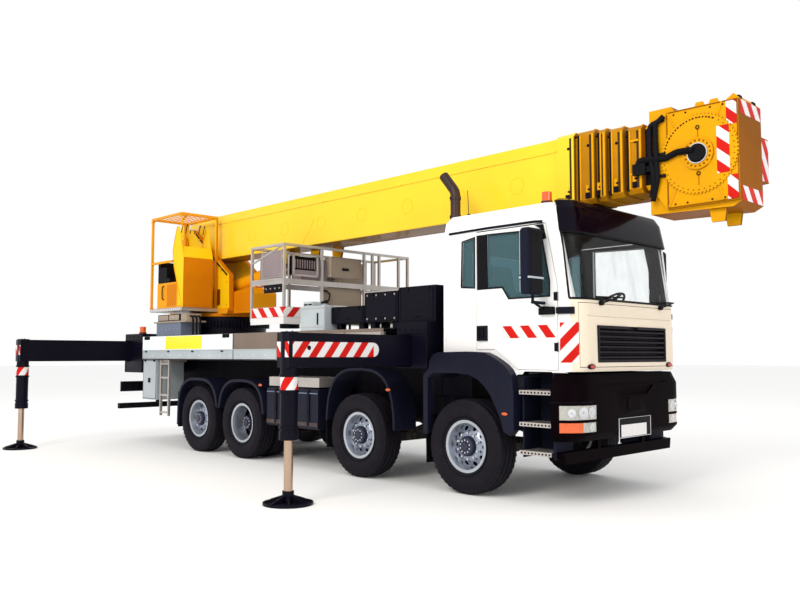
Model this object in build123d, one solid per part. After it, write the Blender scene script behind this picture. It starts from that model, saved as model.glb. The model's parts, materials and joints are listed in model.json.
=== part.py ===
from build123d import *
import os
from math import cos, pi, sin

# Truck-mounted aerial work platform on a four-axle chassis, parked on its four jacks.
# Millimetres. X forward, Y left, Z up. The origin is on the ground, in the middle of the whole machine.

# Overall reach of the machine
FRONT_END = 5760
REAR_END = -5760
HALF_WIDTH = 1250

# Running gear
AXLE_X = {1: 2950, 2: 1135, 3: -1540, 4: -2800}
STEERED = (1, 2, 4)
TYRE_R = 535
TYRE_OUT = 1235
TYRE_IN = 920
KINGPIN_Y = 930
STUB_R = 70
HUB_PLAY = 1
WHEEL_SIDES = 28
BOW_SHAPE = 2 / 3

# Chassis rails
RAIL_OUT = 450
RAIL_FLANGE = 80
RAIL_WALL = 9
RAIL_LOW = 760
RAIL_TOP = 1030

# Cab
CAB_REAR = 2550
CAB_HALF = 1120
CAB_LOW = 1388
CAB_WALL = 45
CAB_LEVELS = (
    # z, half width, rear x, front x, radius of the front corners
    (1388, 1120, 2550, 4360, 235),
    (1440, 1120, 2550, 4390, 265),
    (2120, 1120, 2550, 4378, 265),
    (2900, 1115, 2550, 4296, 265),
    (3120, 1095, 2575, 4250, 265),
    (3200, 1030, 2620, 4170, 265),
    (3240, 850, 2760, 3990, 265),
)
HOOD_LEVELS = (
    # z, half width, rear x, front x, radius of the front corners
    (2862, 1124, 3900, 4310, 268),
    (3120, 1104, 3900, 4264, 268),
    (3210, 1072, 3900, 4215, 270),
    (3252, 960, 3900, 4110, 190),
)
DOOR_X = (3060, 4150)
DOOR_Z = (1408, 2960)
DOOR_BEND_Z = 2300
DOOR_LEAN = 140
HINGE_R = 12
HINGE_Z = ((1600, 1690), (2130, 2220))
PANEL_GAP = 6
SEAM = 1
SILL_Z = 2180
SCREEN_Z = (2150, 2856)
SCREEN_HALF = 1075
LID_HALF = 1000
GRILLE_HALF = 735
GRILLE_Z = (1483, 1877)
GRILLE_SLATS = 6
BUMPER_REAR = 4130
BUMPER_WALL = 40
BUMPER_LEVELS = (
    # z, half width, front x, radius of the corners
    (672, 1200, 4335, 330),
    (740, 1245, 4390, 350),
    (1240, 1245, 4390, 350),
    (1366, 1165, 4352, 320),
)
LAMPS = (
    # inner y, outer y, low z, top z
    (775, 1200, 893, 1047),
    (783, 1200, 763, 872),
)
STEP_TOPS = (555, 852, 1187)

# Deck and outriggers
DECK_X = (-4700, 1650)
DECK_LOW = 1487
DECK_TOP = 1900
DECK_RIBS = (-4690, -3900, -3000, -2100, -1200, -650, 200, 1000)
BEAM_WIDE = 210
JACK_R = 95
ROD_R = 48
PAD_R = 265
OUTRIGGERS = {
    # name: side, beam middle x, jack x, jack y, beam low z, beam top z, inner end y
    "front_right": (-1, 2030, 2030, 2980, 1430, 1800, 380),
    "front_left": (1, 2260, 2030, 2980, 1430, 1800, 380),
    "rear_right": (-1, -5250, -5250, 3130, 1460, 1825, 520),
    "rear_left": (1, -5020, -5020, 3130, 1460, 1825, 520),
}

# Turret and boom
STAND = (-4570, -3500, -1190, -462)
SLEW_X = -3850
SLEW_R = 750
BOOM_Y = -105
PIVOT = (-4650, 3650)
LIFT_LOW = (-4350, 2660)
LIFT_HIGH = (-2000, 3000)
PIN_PLAY = 0.06
BOOM_TAIL = -4950
BOOM_SECTIONS = (
    # half width, low z, top z, rear end x, front end x, collar: start x, half width, low z, top z
    (245, 3290, 4078, BOOM_TAIL, 3890, 3650, 262, 3270, 4112),
    (222, 3322, 4045, -4420, 4150, 3935, 258, 3262, 4104),
    (200, 3352, 4012, -4380, 4290, 4190, 250, 3270, 4086),
    (178, 3382, 3979, -4340, 4500, 4330, 242, 3282, 4068),
    (156, 3412, 3946, -4300, 4720, 4540, 232, 3300, 4044),
    (134, 3442, 3913, -4260, 4900, 4760, 225, 3320, 4022),
)
BOOM_WALL = 8
HEAD_X = (4790, FRONT_END)
HEAD_Z = (3050, 4170)
HEAD_Y = (-335, 225)
HUB = (5351, 3605)
GEAR_R = 415
JIB_Y = (255, 820)
JIB_Z = (3420, 3915)
JIB_END = -1800
LEVEL_PIN = (-1670, 3120)

# Basket
BASKET_X = (-1440, -580)
BASKET_Y = (-1150, 1440)
BASKET_LOW = 2070
BASKET_TOP = 3215
BASKET_POSTS = (-1150, -445, 420, 600, 750, 1190, 1402)
BAR = 38


def block(x0, x1, y0, y1, z0, z1):
    """Rectangular block between two opposite corners."""
    middle = Pos((x0 + x1) / 2, (y0 + y1) / 2, (z0 + z1) / 2)
    return middle * Box(abs(x1 - x0), abs(y1 - y0), abs(z1 - z0))


def rod(start, end, radius):
    """Round bar from one point to another."""
    run = Vector(*end) - Vector(*start)
    base = Plane(origin=Vector(*start), z_dir=run)
    return base * Cylinder(radius, run.length, align=(Align.CENTER, Align.CENTER, Align.MIN))


def bar_y(x, z, y0, y1, radius):
    """Round bar across the machine, along Y."""
    return rod((x, min(y0, y1), z), (x, max(y0, y1), z), radius)


def side_plate(outline, y0, y1):
    """Plate cut to an X-Z outline, from y0 to y1."""
    face = Face(Wire.make_polygon([(x, y0, z) for x, z in outline], close=True))
    return Solid.extrude(face, Vector(0, y1 - y0, 0))


def section_x(outline, x0, x1):
    """Bar of a Y-Z outline, from x0 to x1."""
    face = Face(Wire.make_polygon([(x0, y, z) for y, z in outline], close=True))
    return Solid.extrude(face, Vector(x1 - x0, 0, 0))


def both_sides(shape):
    """A shape and its mirror image on the other side of the machine."""
    return [shape, mirror(shape, Plane.XZ)]


def one(shapes):
    """Fuse a list of shapes."""
    first, *rest = shapes
    for shape in rest:
        first = first + shape
    return first


# Running gear

def steer_wheel(x, side):
    """Single wheel with its bulging disc and hub."""
    outline = [
        (75, 1255), (95, 1185), (245, 1120), (262, 1192), (420, TYRE_OUT), (TYRE_R, 1180), (TYRE_R, 975),
        (420, TYRE_IN), (258, 957), (235, 1085), (120, 1140), (120, 1045), (STUB_R + HUB_PLAY, 1045),
        (STUB_R + HUB_PLAY, 1165), (60, 1175), (60, 1255),
    ]
    return many_sided(outline, x, side)


def twin_wheel(x, side):
    """Twin wheels with a deep dish and a drive hub."""
    outline = [
        (105, 1120), (125, 960), (225, 950), (262, 1192), (420, TYRE_OUT), (TYRE_R, 1180), (TYRE_R, 995),
        (420, 940), (330, 925), (420, 910), (TYRE_R, 855), (TYRE_R, 670), (420, 615), (258, 654),
        (225, 900), (120, 900), (120, 700), (STUB_R + HUB_PLAY, 700), (STUB_R + HUB_PLAY, 850), (60, 860), (60, 1120),
    ]
    return many_sided(outline, x, side)


def many_sided(outline, x, side):
    """Wheel of WHEEL_SIDES flat sides from an outline of radius and distance from the middle plane."""
    rings = []
    for radius, width in outline:
        turns = [2 * pi * step / WHEEL_SIDES for step in range(WHEEL_SIDES)]
        rings.append([(x + radius * cos(a), side * width, TYRE_R + radius * sin(a)) for a in turns])
    faces = []
    for here, there in zip(rings, rings[1:] + rings[:1]):
        for step in range(WHEEL_SIDES):
            after = (step + 1) % WHEEL_SIDES
            corners = [here[step], here[after], there[after], there[step]]
            faces.append(Face(Wire.make_polygon(corners, close=True)))
    body = Solid(Shell(faces))
    cap = bar_y(x, TYRE_R, side * outline[-1][1], side * outline[-2][1], 68)
    return body + cap


def knuckle(x, side):
    """Steering knuckle: fork, kingpin and stub axle."""
    def s(y):
        return side * y
    pin = rod((x, s(KINGPIN_Y), TYRE_R - 130), (x, s(KINGPIN_Y), TYRE_R + 130), 20)
    low = block(x - 55, x + 55, s(KINGPIN_Y - 50), s(1020), TYRE_R - 130, TYRE_R - 97)
    high = block(x - 55, x + 55, s(KINGPIN_Y - 50), s(1020), TYRE_R + 97, TYRE_R + 130)
    web = block(x - 80, x + 80, s(992), s(1022), TYRE_R - 130, TYRE_R + 130)
    stub = bar_y(x, TYRE_R, s(1010), s(1160), STUB_R)
    return one([web, pin, low, high, stub])


def leaf_springs(x, seat_z):
    """Two leaf spring packs that lie on the axle at seat_z and reach the frame at their ends."""
    packs = []
    for y0 in (-448, 368):
        outline = [
            (x - 640, RAIL_LOW), (x - 690, RAIL_LOW), (x - 690, 690), (x - 300, seat_z + 15),
            (x - 90, seat_z), (x + 90, seat_z), (x + 300, seat_z + 15), (x + 690, 690),
            (x + 690, RAIL_LOW), (x + 640, RAIL_LOW), (x + 600, 730), (x + 250, seat_z + 75),
            (x - 250, seat_z + 75), (x - 600, 730),
        ]
        packs.append(side_plate(outline, y0, y0 + 80))
    return packs


def steer_axle(x):
    """Dropped axle beam with an eye at each end for the kingpin."""
    low, high = TYRE_R - 55, TYRE_R + 55
    outline = [
        (-885, low), (-650, low - 70), (650, low - 70), (885, low), (885, high), (700, high),
        (560, low + 45), (-560, low + 45), (-700, high), (-885, high),
    ]
    beam = section_x(outline, x - 50, x + 50)
    eyes = [rod((x, y, TYRE_R - 90), (x, y, TYRE_R + 90), 50) for y in (-KINGPIN_Y, KINGPIN_Y)]
    holes = [rod((x, y, TYRE_R - 95), (x, y, TYRE_R + 95), 20.4) for y in (-KINGPIN_Y, KINGPIN_Y)]
    body = one([beam, *eyes]) - one(holes)
    return one([body, *leaf_springs(x, low + 44)])


def drive_axle(x):
    """Drive axle: tube, differential and the cover of its gear."""
    tube = bar_y(x, TYRE_R, -845, 845, STUB_R)
    drop = Pos(x, 0, TYRE_R) * Sphere(215)
    nose = rod((x, 0, TYRE_R + 20), (x + 420, 0, TYRE_R + 40), 90)
    return one([tube, drop, nose, *leaf_springs(x, TYRE_R + 60)])


def axles():
    """All four axles with their springs."""
    return [drive_axle(x) if number == 3 else steer_axle(x) for number, x in AXLE_X.items()]


def chassis_frame():
    """Two channel rails with the cross members between them."""
    channel = [
        (RAIL_OUT, RAIL_LOW), (RAIL_OUT, RAIL_TOP), (RAIL_OUT - RAIL_FLANGE, RAIL_TOP),
        (RAIL_OUT - RAIL_FLANGE, RAIL_TOP - RAIL_WALL), (RAIL_OUT - RAIL_WALL, RAIL_TOP - RAIL_WALL),
        (RAIL_OUT - RAIL_WALL, RAIL_LOW + RAIL_WALL), (RAIL_OUT - RAIL_FLANGE, RAIL_LOW + RAIL_WALL),
        (RAIL_OUT - RAIL_FLANGE, RAIL_LOW),
    ]
    rails = both_sides(section_x(channel, -5600, 4180))
    reach = RAIL_OUT - RAIL_WALL - SEAM
    cross = [
        block(x, x + 60, -reach, reach, RAIL_LOW + 30, RAIL_TOP - 30)
        for x in (-5600, -4500, -3400, -2200, -900, 300, 1900, 4110)
    ]
    return [*rails, *cross]


def engine_block():
    """Engine and gearbox under the cab, as one plain mass."""
    return one([block(3000, 4050, -330, 330, 660, 1330), block(2250, 3000, -190, 190, 700, 1025)])


def bow(x, half, top, steps=16):
    """Upper half of a squared round outline about a wheel, from rear to front."""
    points = []
    for step in range(1, steps):
        turn = pi * step / steps
        reach = abs(cos(turn)) ** BOW_SHAPE * half
        rise = sin(turn) ** BOW_SHAPE * (top - TYRE_R)
        points.append((x - reach if turn < pi / 2 else x + reach, TYRE_R + rise))
    return points


def arch(x, half, top, thick, y_in, legs):
    """Mudguard over one wheel: a rounded arch with two legs that end at the given heights."""
    rear_leg, front_leg = legs

    def above_legs(points):
        return [point for point in points if point[1] > (rear_leg if point[0] < x else front_leg) + 20]

    inset = half - thick
    outline = [(x - half, rear_leg), *above_legs(bow(x, half, top)), (x + half, front_leg)]
    outline += [(x + inset, front_leg), *above_legs(bow(x, inset, top - thick))[::-1], (x - inset, rear_leg)]
    return both_sides(side_plate(outline, -HALF_WIDTH + 5, -y_in))


def mudguards():
    """Mudguards over the second, third and fourth axles."""
    guards = [*arch(AXLE_X[2] + 45, 665, 1400, 35, 860, (700, 640))]
    guards += arch(AXLE_X[3] - 5, 622, 1200, 45, 600, (740, 700))
    guards += arch(AXLE_X[4] - 12, 628, 1200, 45, 860, (400, 740))
    return guards


# Cab

def level_face(z, half, rear, face, radius):
    """Level section of the cab with its two front corners rounded."""
    bend = radius * (1 - cos(pi / 4))
    edges = [
        Line((rear, -half, z), (face - radius, -half, z)),
        ThreePointArc((face - radius, -half, z), (face - bend, -half + bend, z), (face, -half + radius, z)),
        Line((face, -half + radius, z), (face, half - radius, z)),
        ThreePointArc((face, half - radius, z), (face - bend, half - bend, z), (face - radius, half, z)),
        Line((face - radius, half, z), (rear, half, z)),
        Line((rear, half, z), (rear, -half, z)),
    ]
    return Face(Wire(edges))


def level_form(levels):
    """Form lofted straight through a table of level sections."""
    return loft([level_face(*row) for row in levels], ruled=True)


def cab_form(inset):
    """Outside form of the cab, drawn in by an even inset."""
    levels = []
    for z, half, rear, face, radius in CAB_LEVELS:
        if z == CAB_LOW:
            z += inset
        elif z > DOOR_Z[1]:
            z -= inset
        levels.append((z, half - inset, rear + inset, face - inset, radius - inset))
    return level_form(levels)


def cab_hollow():
    """The cab as one thin-walled form, before its openings are cut."""
    return cab_form(0) - cab_form(CAB_WALL)


def door_zone(side, grow):
    """Space that a door takes in the cab's side wall, cut away over the wheel arch."""
    x0, x1 = DOOR_X[0] - grow, DOOR_X[1] + grow
    low, top = DOOR_Z[0] - grow, DOOR_Z[1] + grow
    cut = 1625 - grow
    outline = [
        (x0, cut), (3316, cut), (3640, low), (x1, low), (x1, DOOR_BEND_Z), (x1 - DOOR_LEAN, top), (x0, top),
    ]
    zone = side_plate(outline, side * (CAB_HALF - 140), side * (CAB_HALF + 20))
    wall = side * (CAB_HALF - CAB_WALL - grow)
    return zone - block(x0 - 1, x1 + 1, side * (CAB_HALF - 150), wall, low - 1, CAB_LOW + CAB_WALL + 2)


def door_window(side):
    """Window of a door, with its lower edge dropped at the front."""
    outline = [
        (3215, 2310), (3430, 2310), (3520, SILL_Z), (4060, SILL_Z), (4060, 2340), (3950, 2900), (3215, 2920),
    ]
    return side_plate(outline, side * (CAB_HALF - 160), side * (CAB_HALF + 40))


def quarter_window(side):
    """Small window behind a door."""
    outline = [(2835, 2350), (3030, 2330), (3030, 2905), (2850, 2870)]
    return side_plate(outline, side * (CAB_HALF - 160), side * (CAB_HALF + 40))


def screen_zone(grow):
    """Space of the windscreen, which reaches round both corners of the cab's front."""
    low, top = SCREEN_Z[0] - grow, SCREEN_Z[1] + grow
    lean = (4288, 4165)
    outline = [(lean[0] - grow, low), (lean[1] - grow, top), (4420, top), (4420, low)]
    return side_plate(outline, -SCREEN_HALF - grow, SCREEN_HALF + grow)


def hinge_barrels(side, play):
    """The two barrels of a door's hinges, with some play."""
    y = side * CAB_HALF
    return [rod((DOOR_X[1], y, z0 - play), (DOOR_X[1], y, z1 + play), HINGE_R + play) for z0, z1 in HINGE_Z]


def cab_shell():
    """Cab walls, floor, pillars and roof, parted where the real panels meet."""
    shell = cab_hollow() - screen_zone(0) - block(4230, 4420, -LID_HALF - 6, LID_HALF + 6, CAB_LOW + 45, 2110)
    shell = shell - block(CAB_REAR - 10, CAB_REAR + 60, -650, 650, 2350, 2800)
    for side in (-1, 1):
        shell = shell - door_zone(side, PANEL_GAP) - quarter_window(side) - one(hinge_barrels(side, 6))
    wide = CAB_HALF + 20
    rear_in = CAB_REAR + CAB_WALL + SEAM
    floor_top = CAB_LOW + CAB_WALL + SEAM
    roof_low = DOOR_Z[1] + 12
    front = [
        (DOOR_X[1] + 7, CAB_LOW - 10), (DOOR_X[1] + 7, DOOR_BEND_Z + 2), (3990, roof_low - SEAM),
        (4420, roof_low - SEAM), (4420, CAB_LOW - 10),
    ]
    zones = [
        block(CAB_REAR - 10, 4420, -wide, wide, roof_low, 3300),
        side_plate(front, -wide, wide),
        block(CAB_REAR - 10, DOOR_X[1] + 6, -wide, wide, CAB_LOW - 10, floor_top - SEAM),
        block(CAB_REAR - 10, rear_in - SEAM, -wide, wide, floor_top, roof_low - SEAM),
    ]
    for side in (-1, 1):
        inner, outer = side * (CAB_HALF - CAB_WALL - 5), side * wide
        zones.append(block(rear_in, DOOR_X[0] - 6, inner, outer, floor_top, roof_low - SEAM))
        zones.append(block(DOOR_X[0] - 5, 3700, inner, outer, floor_top, 1700))
    return [shell & zone for zone in zones]


def front_panel():
    """Lid under the windscreen, with the opening of the grille."""
    lid = cab_hollow() & block(4236, 4420, -LID_HALF, LID_HALF, CAB_LOW + 51, 2104)
    crease = block(4372, 4420, -LID_HALF - 1, LID_HALF + 1, 1966, 1974)
    return lid - block(4200, 4420, -GRILLE_HALF, GRILLE_HALF, *GRILLE_Z) - crease


def grille():
    """Radiator grille: a notched frame with level slats."""
    x0, x1 = 4330, 4398
    low, high = GRILLE_Z[0] + 3, GRILLE_Z[1] - 3
    half = GRILLE_HALF - 3
    rim = 28
    frame = block(x0, x1, -half, half, low, high)
    frame = frame - block(x0 - 5, x1 + 5, -half + rim, half - rim, low + rim, high - rim)
    pitch = (high - low - 2 * rim) / GRILLE_SLATS
    parts = [frame, block(x0 - 12, x0 + 10, -half + 20, half - 20, low + 20, high - 20)]
    for number in range(GRILLE_SLATS):
        middle = low + rim + pitch * (number + 0.5)
        slat = [(x0 + 8, middle - 22), (x1 - 6, middle - 14), (x1 - 6, middle + 4), (x0 + 8, middle + 22)]
        parts.append(side_plate(slat, -half + 20, half - 20))
    notch = section_x([(-110, high + 1), (-70, high - 34), (70, high - 34), (110, high + 1)], x0 + 20, x1 + 5)
    return one(parts) - notch


def roof_cap():
    """Dark hood over the windscreen, rounded into the roof."""
    reach = [(4166, 2862), (4116, 3140), (4060, 3230), (3960, 3345), (4420, 3345), (4420, 2862)]
    return (level_form(HOOD_LEVELS) & side_plate(reach, -CAB_HALF, CAB_HALF)) - cab_form(-2)


def cab_glass():
    """Windscreen and the fixed side and rear panes."""
    pane = cab_form(14) - cab_form(22)
    screen = pane & screen_zone(-4)
    sides = [pane & quarter_window(side) for side in (-1, 1)]
    rear = pane & block(CAB_REAR, CAB_REAR + 60, -645, 645, 2355, 2795)
    return [screen, *sides, rear]


def door(side):
    """Cab door with its window open, its hinge barrels and its mirror housing on two arms."""
    panel = (cab_hollow() & door_zone(side, 0)) - door_window(side)
    y = side * CAB_HALF
    barrels = hinge_barrels(side, 0)
    leaves = [block(DOOR_X[1] - 40, DOOR_X[1], y - side * 14, y + side * 4, *span) for span in HINGE_Z]
    housing = block(3925, 4055, y + side * 95, y + side * 350, 2185, 2885)
    housing = fillet(housing.edges(), 38)
    arms = [rod((3988, y - side * 20, z), (3998, y + side * 226, z), 17) for z in (2855, 2109)]
    post = rod((4000, y + side * 220, 2105), (4000, y + side * 220, 2868), 15)
    handle = block(3074, 3220, y - side * 10, y + side * 22, 1722, 1892)
    handle = handle - block(3100, 3194, y + side * 6, y + side * 23, 1750, 1864)
    return one([panel, *leaves, *barrels, *arms, post, housing, handle])


def door_glass(side):
    """Pane of a door."""
    pane = cab_form(14) - cab_form(22)
    return pane & door_window(side) & door_zone(side, -4)


def cab_interior():
    """Seats, dashboard and steering wheel."""
    seats = []
    for y in (-560, 560):
        cushion = block(3000, 3480, y - 240, y + 240, 1850, 1990)
        back = side_plate([(2960, 1950), (3080, 1950), (2940, 2620), (2830, 2620)], y - 240, y + 240)
        base = block(3060, 3400, y - 150, y + 150, CAB_LOW + 45, 1860)
        seats.append(one([cushion, back, base]))
    dash_outline = [(3900, 1700), (4180, 1600), (4180, 2080), (3960, 2130), (3860, 2020)]
    dash = side_plate(dash_outline, -1000, 1000)
    column = rod((3868, 560, 2029), (3760, 560, 2160), 30)
    rim_plane = Plane(origin=(3750, 560, 2170), z_dir=(-0.62, 0, 0.78))
    rim = rim_plane * Torus(218, 14)
    spokes = rim_plane * Box(430, 50, 16)
    return [*seats, dash, one([column, rim, spokes]) - dash_gap(dash_outline)]


def dash_gap(outline):
    """Dashboard's form, one seam larger at the steering column."""
    return side_plate([(x - 2, z) for x, z in outline], -1000, 1000)


def bumper_form(inset):
    """Outside form of the bumper, rounded at its corners and drawn in by an even inset."""
    levels = []
    for z, half, face, radius in BUMPER_LEVELS:
        if z == BUMPER_LEVELS[0][0]:
            z += inset
        elif z == BUMPER_LEVELS[-1][0]:
            z -= inset
        levels.append((z, half - inset, 3990, face - inset, radius - inset))
    return level_form(levels) & block(BUMPER_REAR, 4420, -HALF_WIDTH, HALF_WIDTH, 600, 1400)


def lamp_zones(side, play):
    """Spaces of the head lamp and of the lamp under it in the bumper's corner."""
    zones = []
    for y0, y1, z0, z1 in LAMPS:
        zones.append(block(4150, 4420, side * (y0 + play), side * (y1 - play), z0 + play, z1 - play))
    return zones


def front_bumper():
    """Bumper with its recesses, the low bar under it and the arches of the front wheels."""
    shell = bumper_form(0) - Pos(-1, 0, 0) * bumper_form(BUMPER_WALL)
    for side in (-1, 1):
        shell = shell - one(lamp_zones(side, 0))
    lid = section_x([(-790, 1345), (790, 1345), (615, 1246), (-615, 1246)], 4378, 4400)
    recess = section_x([(-430, 1228), (430, 1228), (270, 1126), (-270, 1126)], 4372, 4400)
    plate_seat = block(4376, 4400, -350, 350, 660, 885)
    shell = shell - lid - recess - plate_seat
    tow_cover = block(4385, 4396, -150, 150, 955, 1095)
    bar = section_x([(-1110, 440), (1110, 440), (1130, 560), (-1130, 560)], BUMPER_REAR, 4225)
    front = [shell, tow_cover, bar]
    for y in (-470, 470):
        front.append(block(4183, 4225, y - 30, y + 30, 450, 1100))
        front.append(block(4200, 4351, y - 30, y + 30, 1000, 1090))
    edge = [
        (3490, 832), (3450, 930), (3393, 1030), (3338, 1126), (3260, 1215), (3169, 1285), (3038, 1340),
        (2840, 1358), (2470, 1352), (2395, 1290),
    ]
    arch_outline = [
        (2325, 640), (2325, 1330), (2405, 1396), (2425, 1500), (2475, 1565), (2560, 1596), (2981, 1603),
        (3258, 1591), (3357, 1552), (3451, 1503), (3522, 1460), (3576, 1413), (3616, 1360), (3642, 1296),
        (3656, 1160), (3656, 760), (3600, 700), (3520, 740), *edge, (2395, 640),
    ]
    liner_outline = [
        (2325, 1300), (2400, 1384), (2860, 1384), (3050, 1366), (3185, 1309), (3280, 1236), (3360, 1142),
        (3418, 1042), (3476, 940), (3520, 832), *edge,
    ]
    arches = []
    for side in (-1, 1):
        face = side_plate(arch_outline, side * 1130, side * (HALF_WIDTH - 15))
        liner = side_plate(liner_outline, side * 700, side * 1135)
        arches.append(one([face, liner, block(3600, 3656, side * 1135, side * 800, 760, 1180)]))
    return [one(front), *arches]


def cab_steps():
    """Side steps below the doors: three treads in an open-sided box."""
    boxes = []
    for side in (-1, 1):
        def across(y0, y1, x0, x1, z0, z1):
            return block(x0, x1, side * y0, side * y1, z0, z1)
        parts = [
            across(820, 840, 3712, 4124, 480, 1370),
            across(839, 1150, 3712, 3732, 480, 1330),
            across(839, 1150, 4104, 4124, 480, 1370),
        ]
        for top in STEP_TOPS:
            parts.append(across(839, 1210, 3712, 4124, top - 42, top))
        boxes.append(one(parts))
    return boxes


def lamps():
    """Lamps of the bumper's corners, tail lamps and the beacons."""
    lens = bumper_form(3) - bumper_form(BUMPER_WALL - 2)
    shapes = []
    for side in (-1, 1):
        shapes += [lens & zone for zone in lamp_zones(side, 4)]
        shapes.append(block(REAR_END, REAR_END + 59, side * 820, side * 1150, 905, 1045))
    for x, y, low in ((3800, -780, 3241), (-4880, -1160, 1956)):
        shapes.append(rod((x, y, low), (x, y, low + 28), 66) + rod((x, y, low + 27), (x, y, low + 130), 56))
    return shapes


# Deck and fittings of the chassis

def deck():
    """Deck plate, sub-frame box, side panels and the ribs between them."""
    x0, x1 = DECK_X
    low = DECK_TOP - 40 - SEAM
    plate = block(x0, x1, -HALF_WIDTH, HALF_WIDTH, DECK_TOP - 40, DECK_TOP)
    spine = block(-4708, 1880, -430, 430, RAIL_TOP, low)
    spine = spine - block(-4700, 1872, -405, 405, RAIL_TOP + 25, low - 25)
    parts = [plate, spine]
    for side in (-1, 1):
        upper = block(x0, x1, side * HALF_WIDTH, side * (HALF_WIDTH - 40), 1700, low)
        lower = block(x0, -600, side * HALF_WIDTH, side * (HALF_WIDTH - 60), DECK_LOW, 1700)
        parts.append(upper + lower)
        for x in DECK_RIBS:
            parts.append(block(x, x + 50, side * 432, side * (HALF_WIDTH - 62), 1560, low))
    return parts


def outrigger_housing(x0, x1, beams, z0, z1, cap_z):
    """Cross box that two outrigger beams slide in."""
    box = block(x0, x1, -HALF_WIDTH, HALF_WIDTH, z0, z1)
    for side, middle, low, high in beams:
        half = BEAM_WIDE / 2 + 8
        y0, y1 = side * (HALF_WIDTH + 10), -side * (HALF_WIDTH - 15)
        box = box - block(middle - half, middle + half, y0, y1, low - 8, high + 8)
    return one([box, block(x0, x1, -HALF_WIDTH, HALF_WIDTH, z1 - 1, cap_z)])


def outrigger_housings():
    """Front and rear cross boxes."""
    front = [(v[0], v[1], v[4], v[5]) for k, v in OUTRIGGERS.items() if "front" in k]
    rear = [(v[0], v[1], v[4], v[5]) for k, v in OUTRIGGERS.items() if "rear" in k]
    front_box = outrigger_housing(1890, 2400, front, 1404, 1835, 1960)
    rear_box = outrigger_housing(-5385, -4710, rear, 1250, 1860, 1955)
    foot = block(1890, 2400, -430, 430, RAIL_TOP, 1405)
    rear_foot = block(-5385, -4710, -430, 430, RAIL_TOP, 1251)
    return [one([front_box, foot]), one([rear_box, rear_foot])]


def outrigger_beam(name):
    """Sliding beam with the jack tube at its outer end."""
    side, middle, jack_x, jack_y, low, high, inner = OUTRIGGERS[name]
    end = jack_y + JACK_R - 10
    wall = 14
    half = BEAM_WIDE / 2
    hollow = half - wall
    beam = block(middle - half, middle + half, side * inner, side * end, low, high)
    beam = beam - block(
        middle - hollow, middle + hollow, side * (inner - 5), side * (jack_y - 130), low + wall, high - wall
    )
    tube = rod((jack_x, side * jack_y, 670), (jack_x, side * jack_y, high), JACK_R)
    collar = rod((jack_x, side * jack_y, 670), (jack_x, side * jack_y, 760), JACK_R + 8)
    parts = [beam, tube, collar]
    if jack_x != middle:
        parts.append(block(jack_x, middle, side * (jack_y - 90), side * (jack_y + 80), low, high))
    return one(parts) - rod((jack_x, side * jack_y, 660), (jack_x, side * jack_y, high - 30), ROD_R + 7)


def jack(name):
    """Jack rod with its socket and ribbed foot plate."""
    side, middle, x, y, low, high, inner = OUTRIGGERS[name]
    y = side * y
    shaft = rod((x, y, 60), (x, y, 1240), ROD_R)
    socket = rod((x, y, 30), (x, y, 140), 62)
    plate = rod((x, y, 0), (x, y, 26), PAD_R)
    rib = [(-PAD_R + 15, 24), (PAD_R - 15, 24), (PAD_R - 15, 34), (62, 95), (-62, 95), (-PAD_R + 15, 34)]
    ribs = []
    for step in range(4):
        blade = side_plate(rib, -9, 9)
        ribs.append(Pos(x, y, 0) * Rot(0, 0, 45 * step + 10) * blade)
    return one([plate, socket, shaft, *ribs])


def side_boxes():
    """Fuel tank and battery box between the second and third axles, on their straps."""
    right = fillet(block(-860, 330, -1225, -640, 545, 1100).edges().filter_by(Axis.X), 35)
    left = fillet(block(-860, 330, 640, 1225, 545, 1100).edges().filter_by(Axis.X), 110)
    lid = block(-840, 320, -1200, -660, 1120, 1250)
    neck = block(-500, 0, -1000, -800, 1095, 1125)
    right_straps = [block(x, x + 50, -645, -450, 560, 1000) for x in (-700, 120)]
    left_straps = [block(x, x + 50, 450, 645, 560, 1000) for x in (-700, 120)]
    return [one([right, lid, neck, *right_straps]), one([left, *left_straps])]


def deck_cabinets():
    """Hydraulic tank, the cabinets between the deck and the cab, and the valve box under the stand."""
    def feet(x0, x1):
        corners = [(x, y) for x in (x0 + 60, x1 - 150) for y in (-1050, -650)]
        return [block(x, x + 90, y, y + 90, DECK_TOP, 1990) for x, y in corners]
    tank = fillet(block(-90, 440, -1230, -800, 1901, 2240).edges().filter_by(Axis.Z), 30)
    filler = rod((330, -1120, 2235), (330, -1120, 2275), 45)
    breather = block(-70, 130, -1180, -1000, 2235, 2310)
    low = one([block(450, 1120, -1100, -560, 1985, 2215), *feet(450, 1120)])
    step = one([block(1130, 1760, -1100, -560, 1985, 2385), *feet(1130, 1760)])
    tall = block(1770, 2405, -1100, 700, 1962, 2410)
    valves = one([
        block(-4330, -3480, -1180, -820, 1901, 2130),
        block(-4400, -3290, -1200, -800, 2129, 2155),
        block(-4300, -3540, -1170, -830, 2154, 2275),
        block(-3500, -3300, -1170, -900, 2154, 2275),
    ])
    return [one([tank, filler, breather]), low, step, tall, valves]


def exhaust_stack():
    """Upright exhaust behind the cab, bent at its mouth, with its heat shield."""
    path = FilletPolyline((2480, -820, 1420), (2480, -820, 3560), (2290, -820, 3790), radius=150)
    pipe = sweep(Plane(origin=path @ 0, z_dir=path % 0) * Circle(62), path)
    mouth = sweep(Plane(origin=path @ 0, z_dir=path % 0) * Circle(50), path)
    return pipe - mouth


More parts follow.
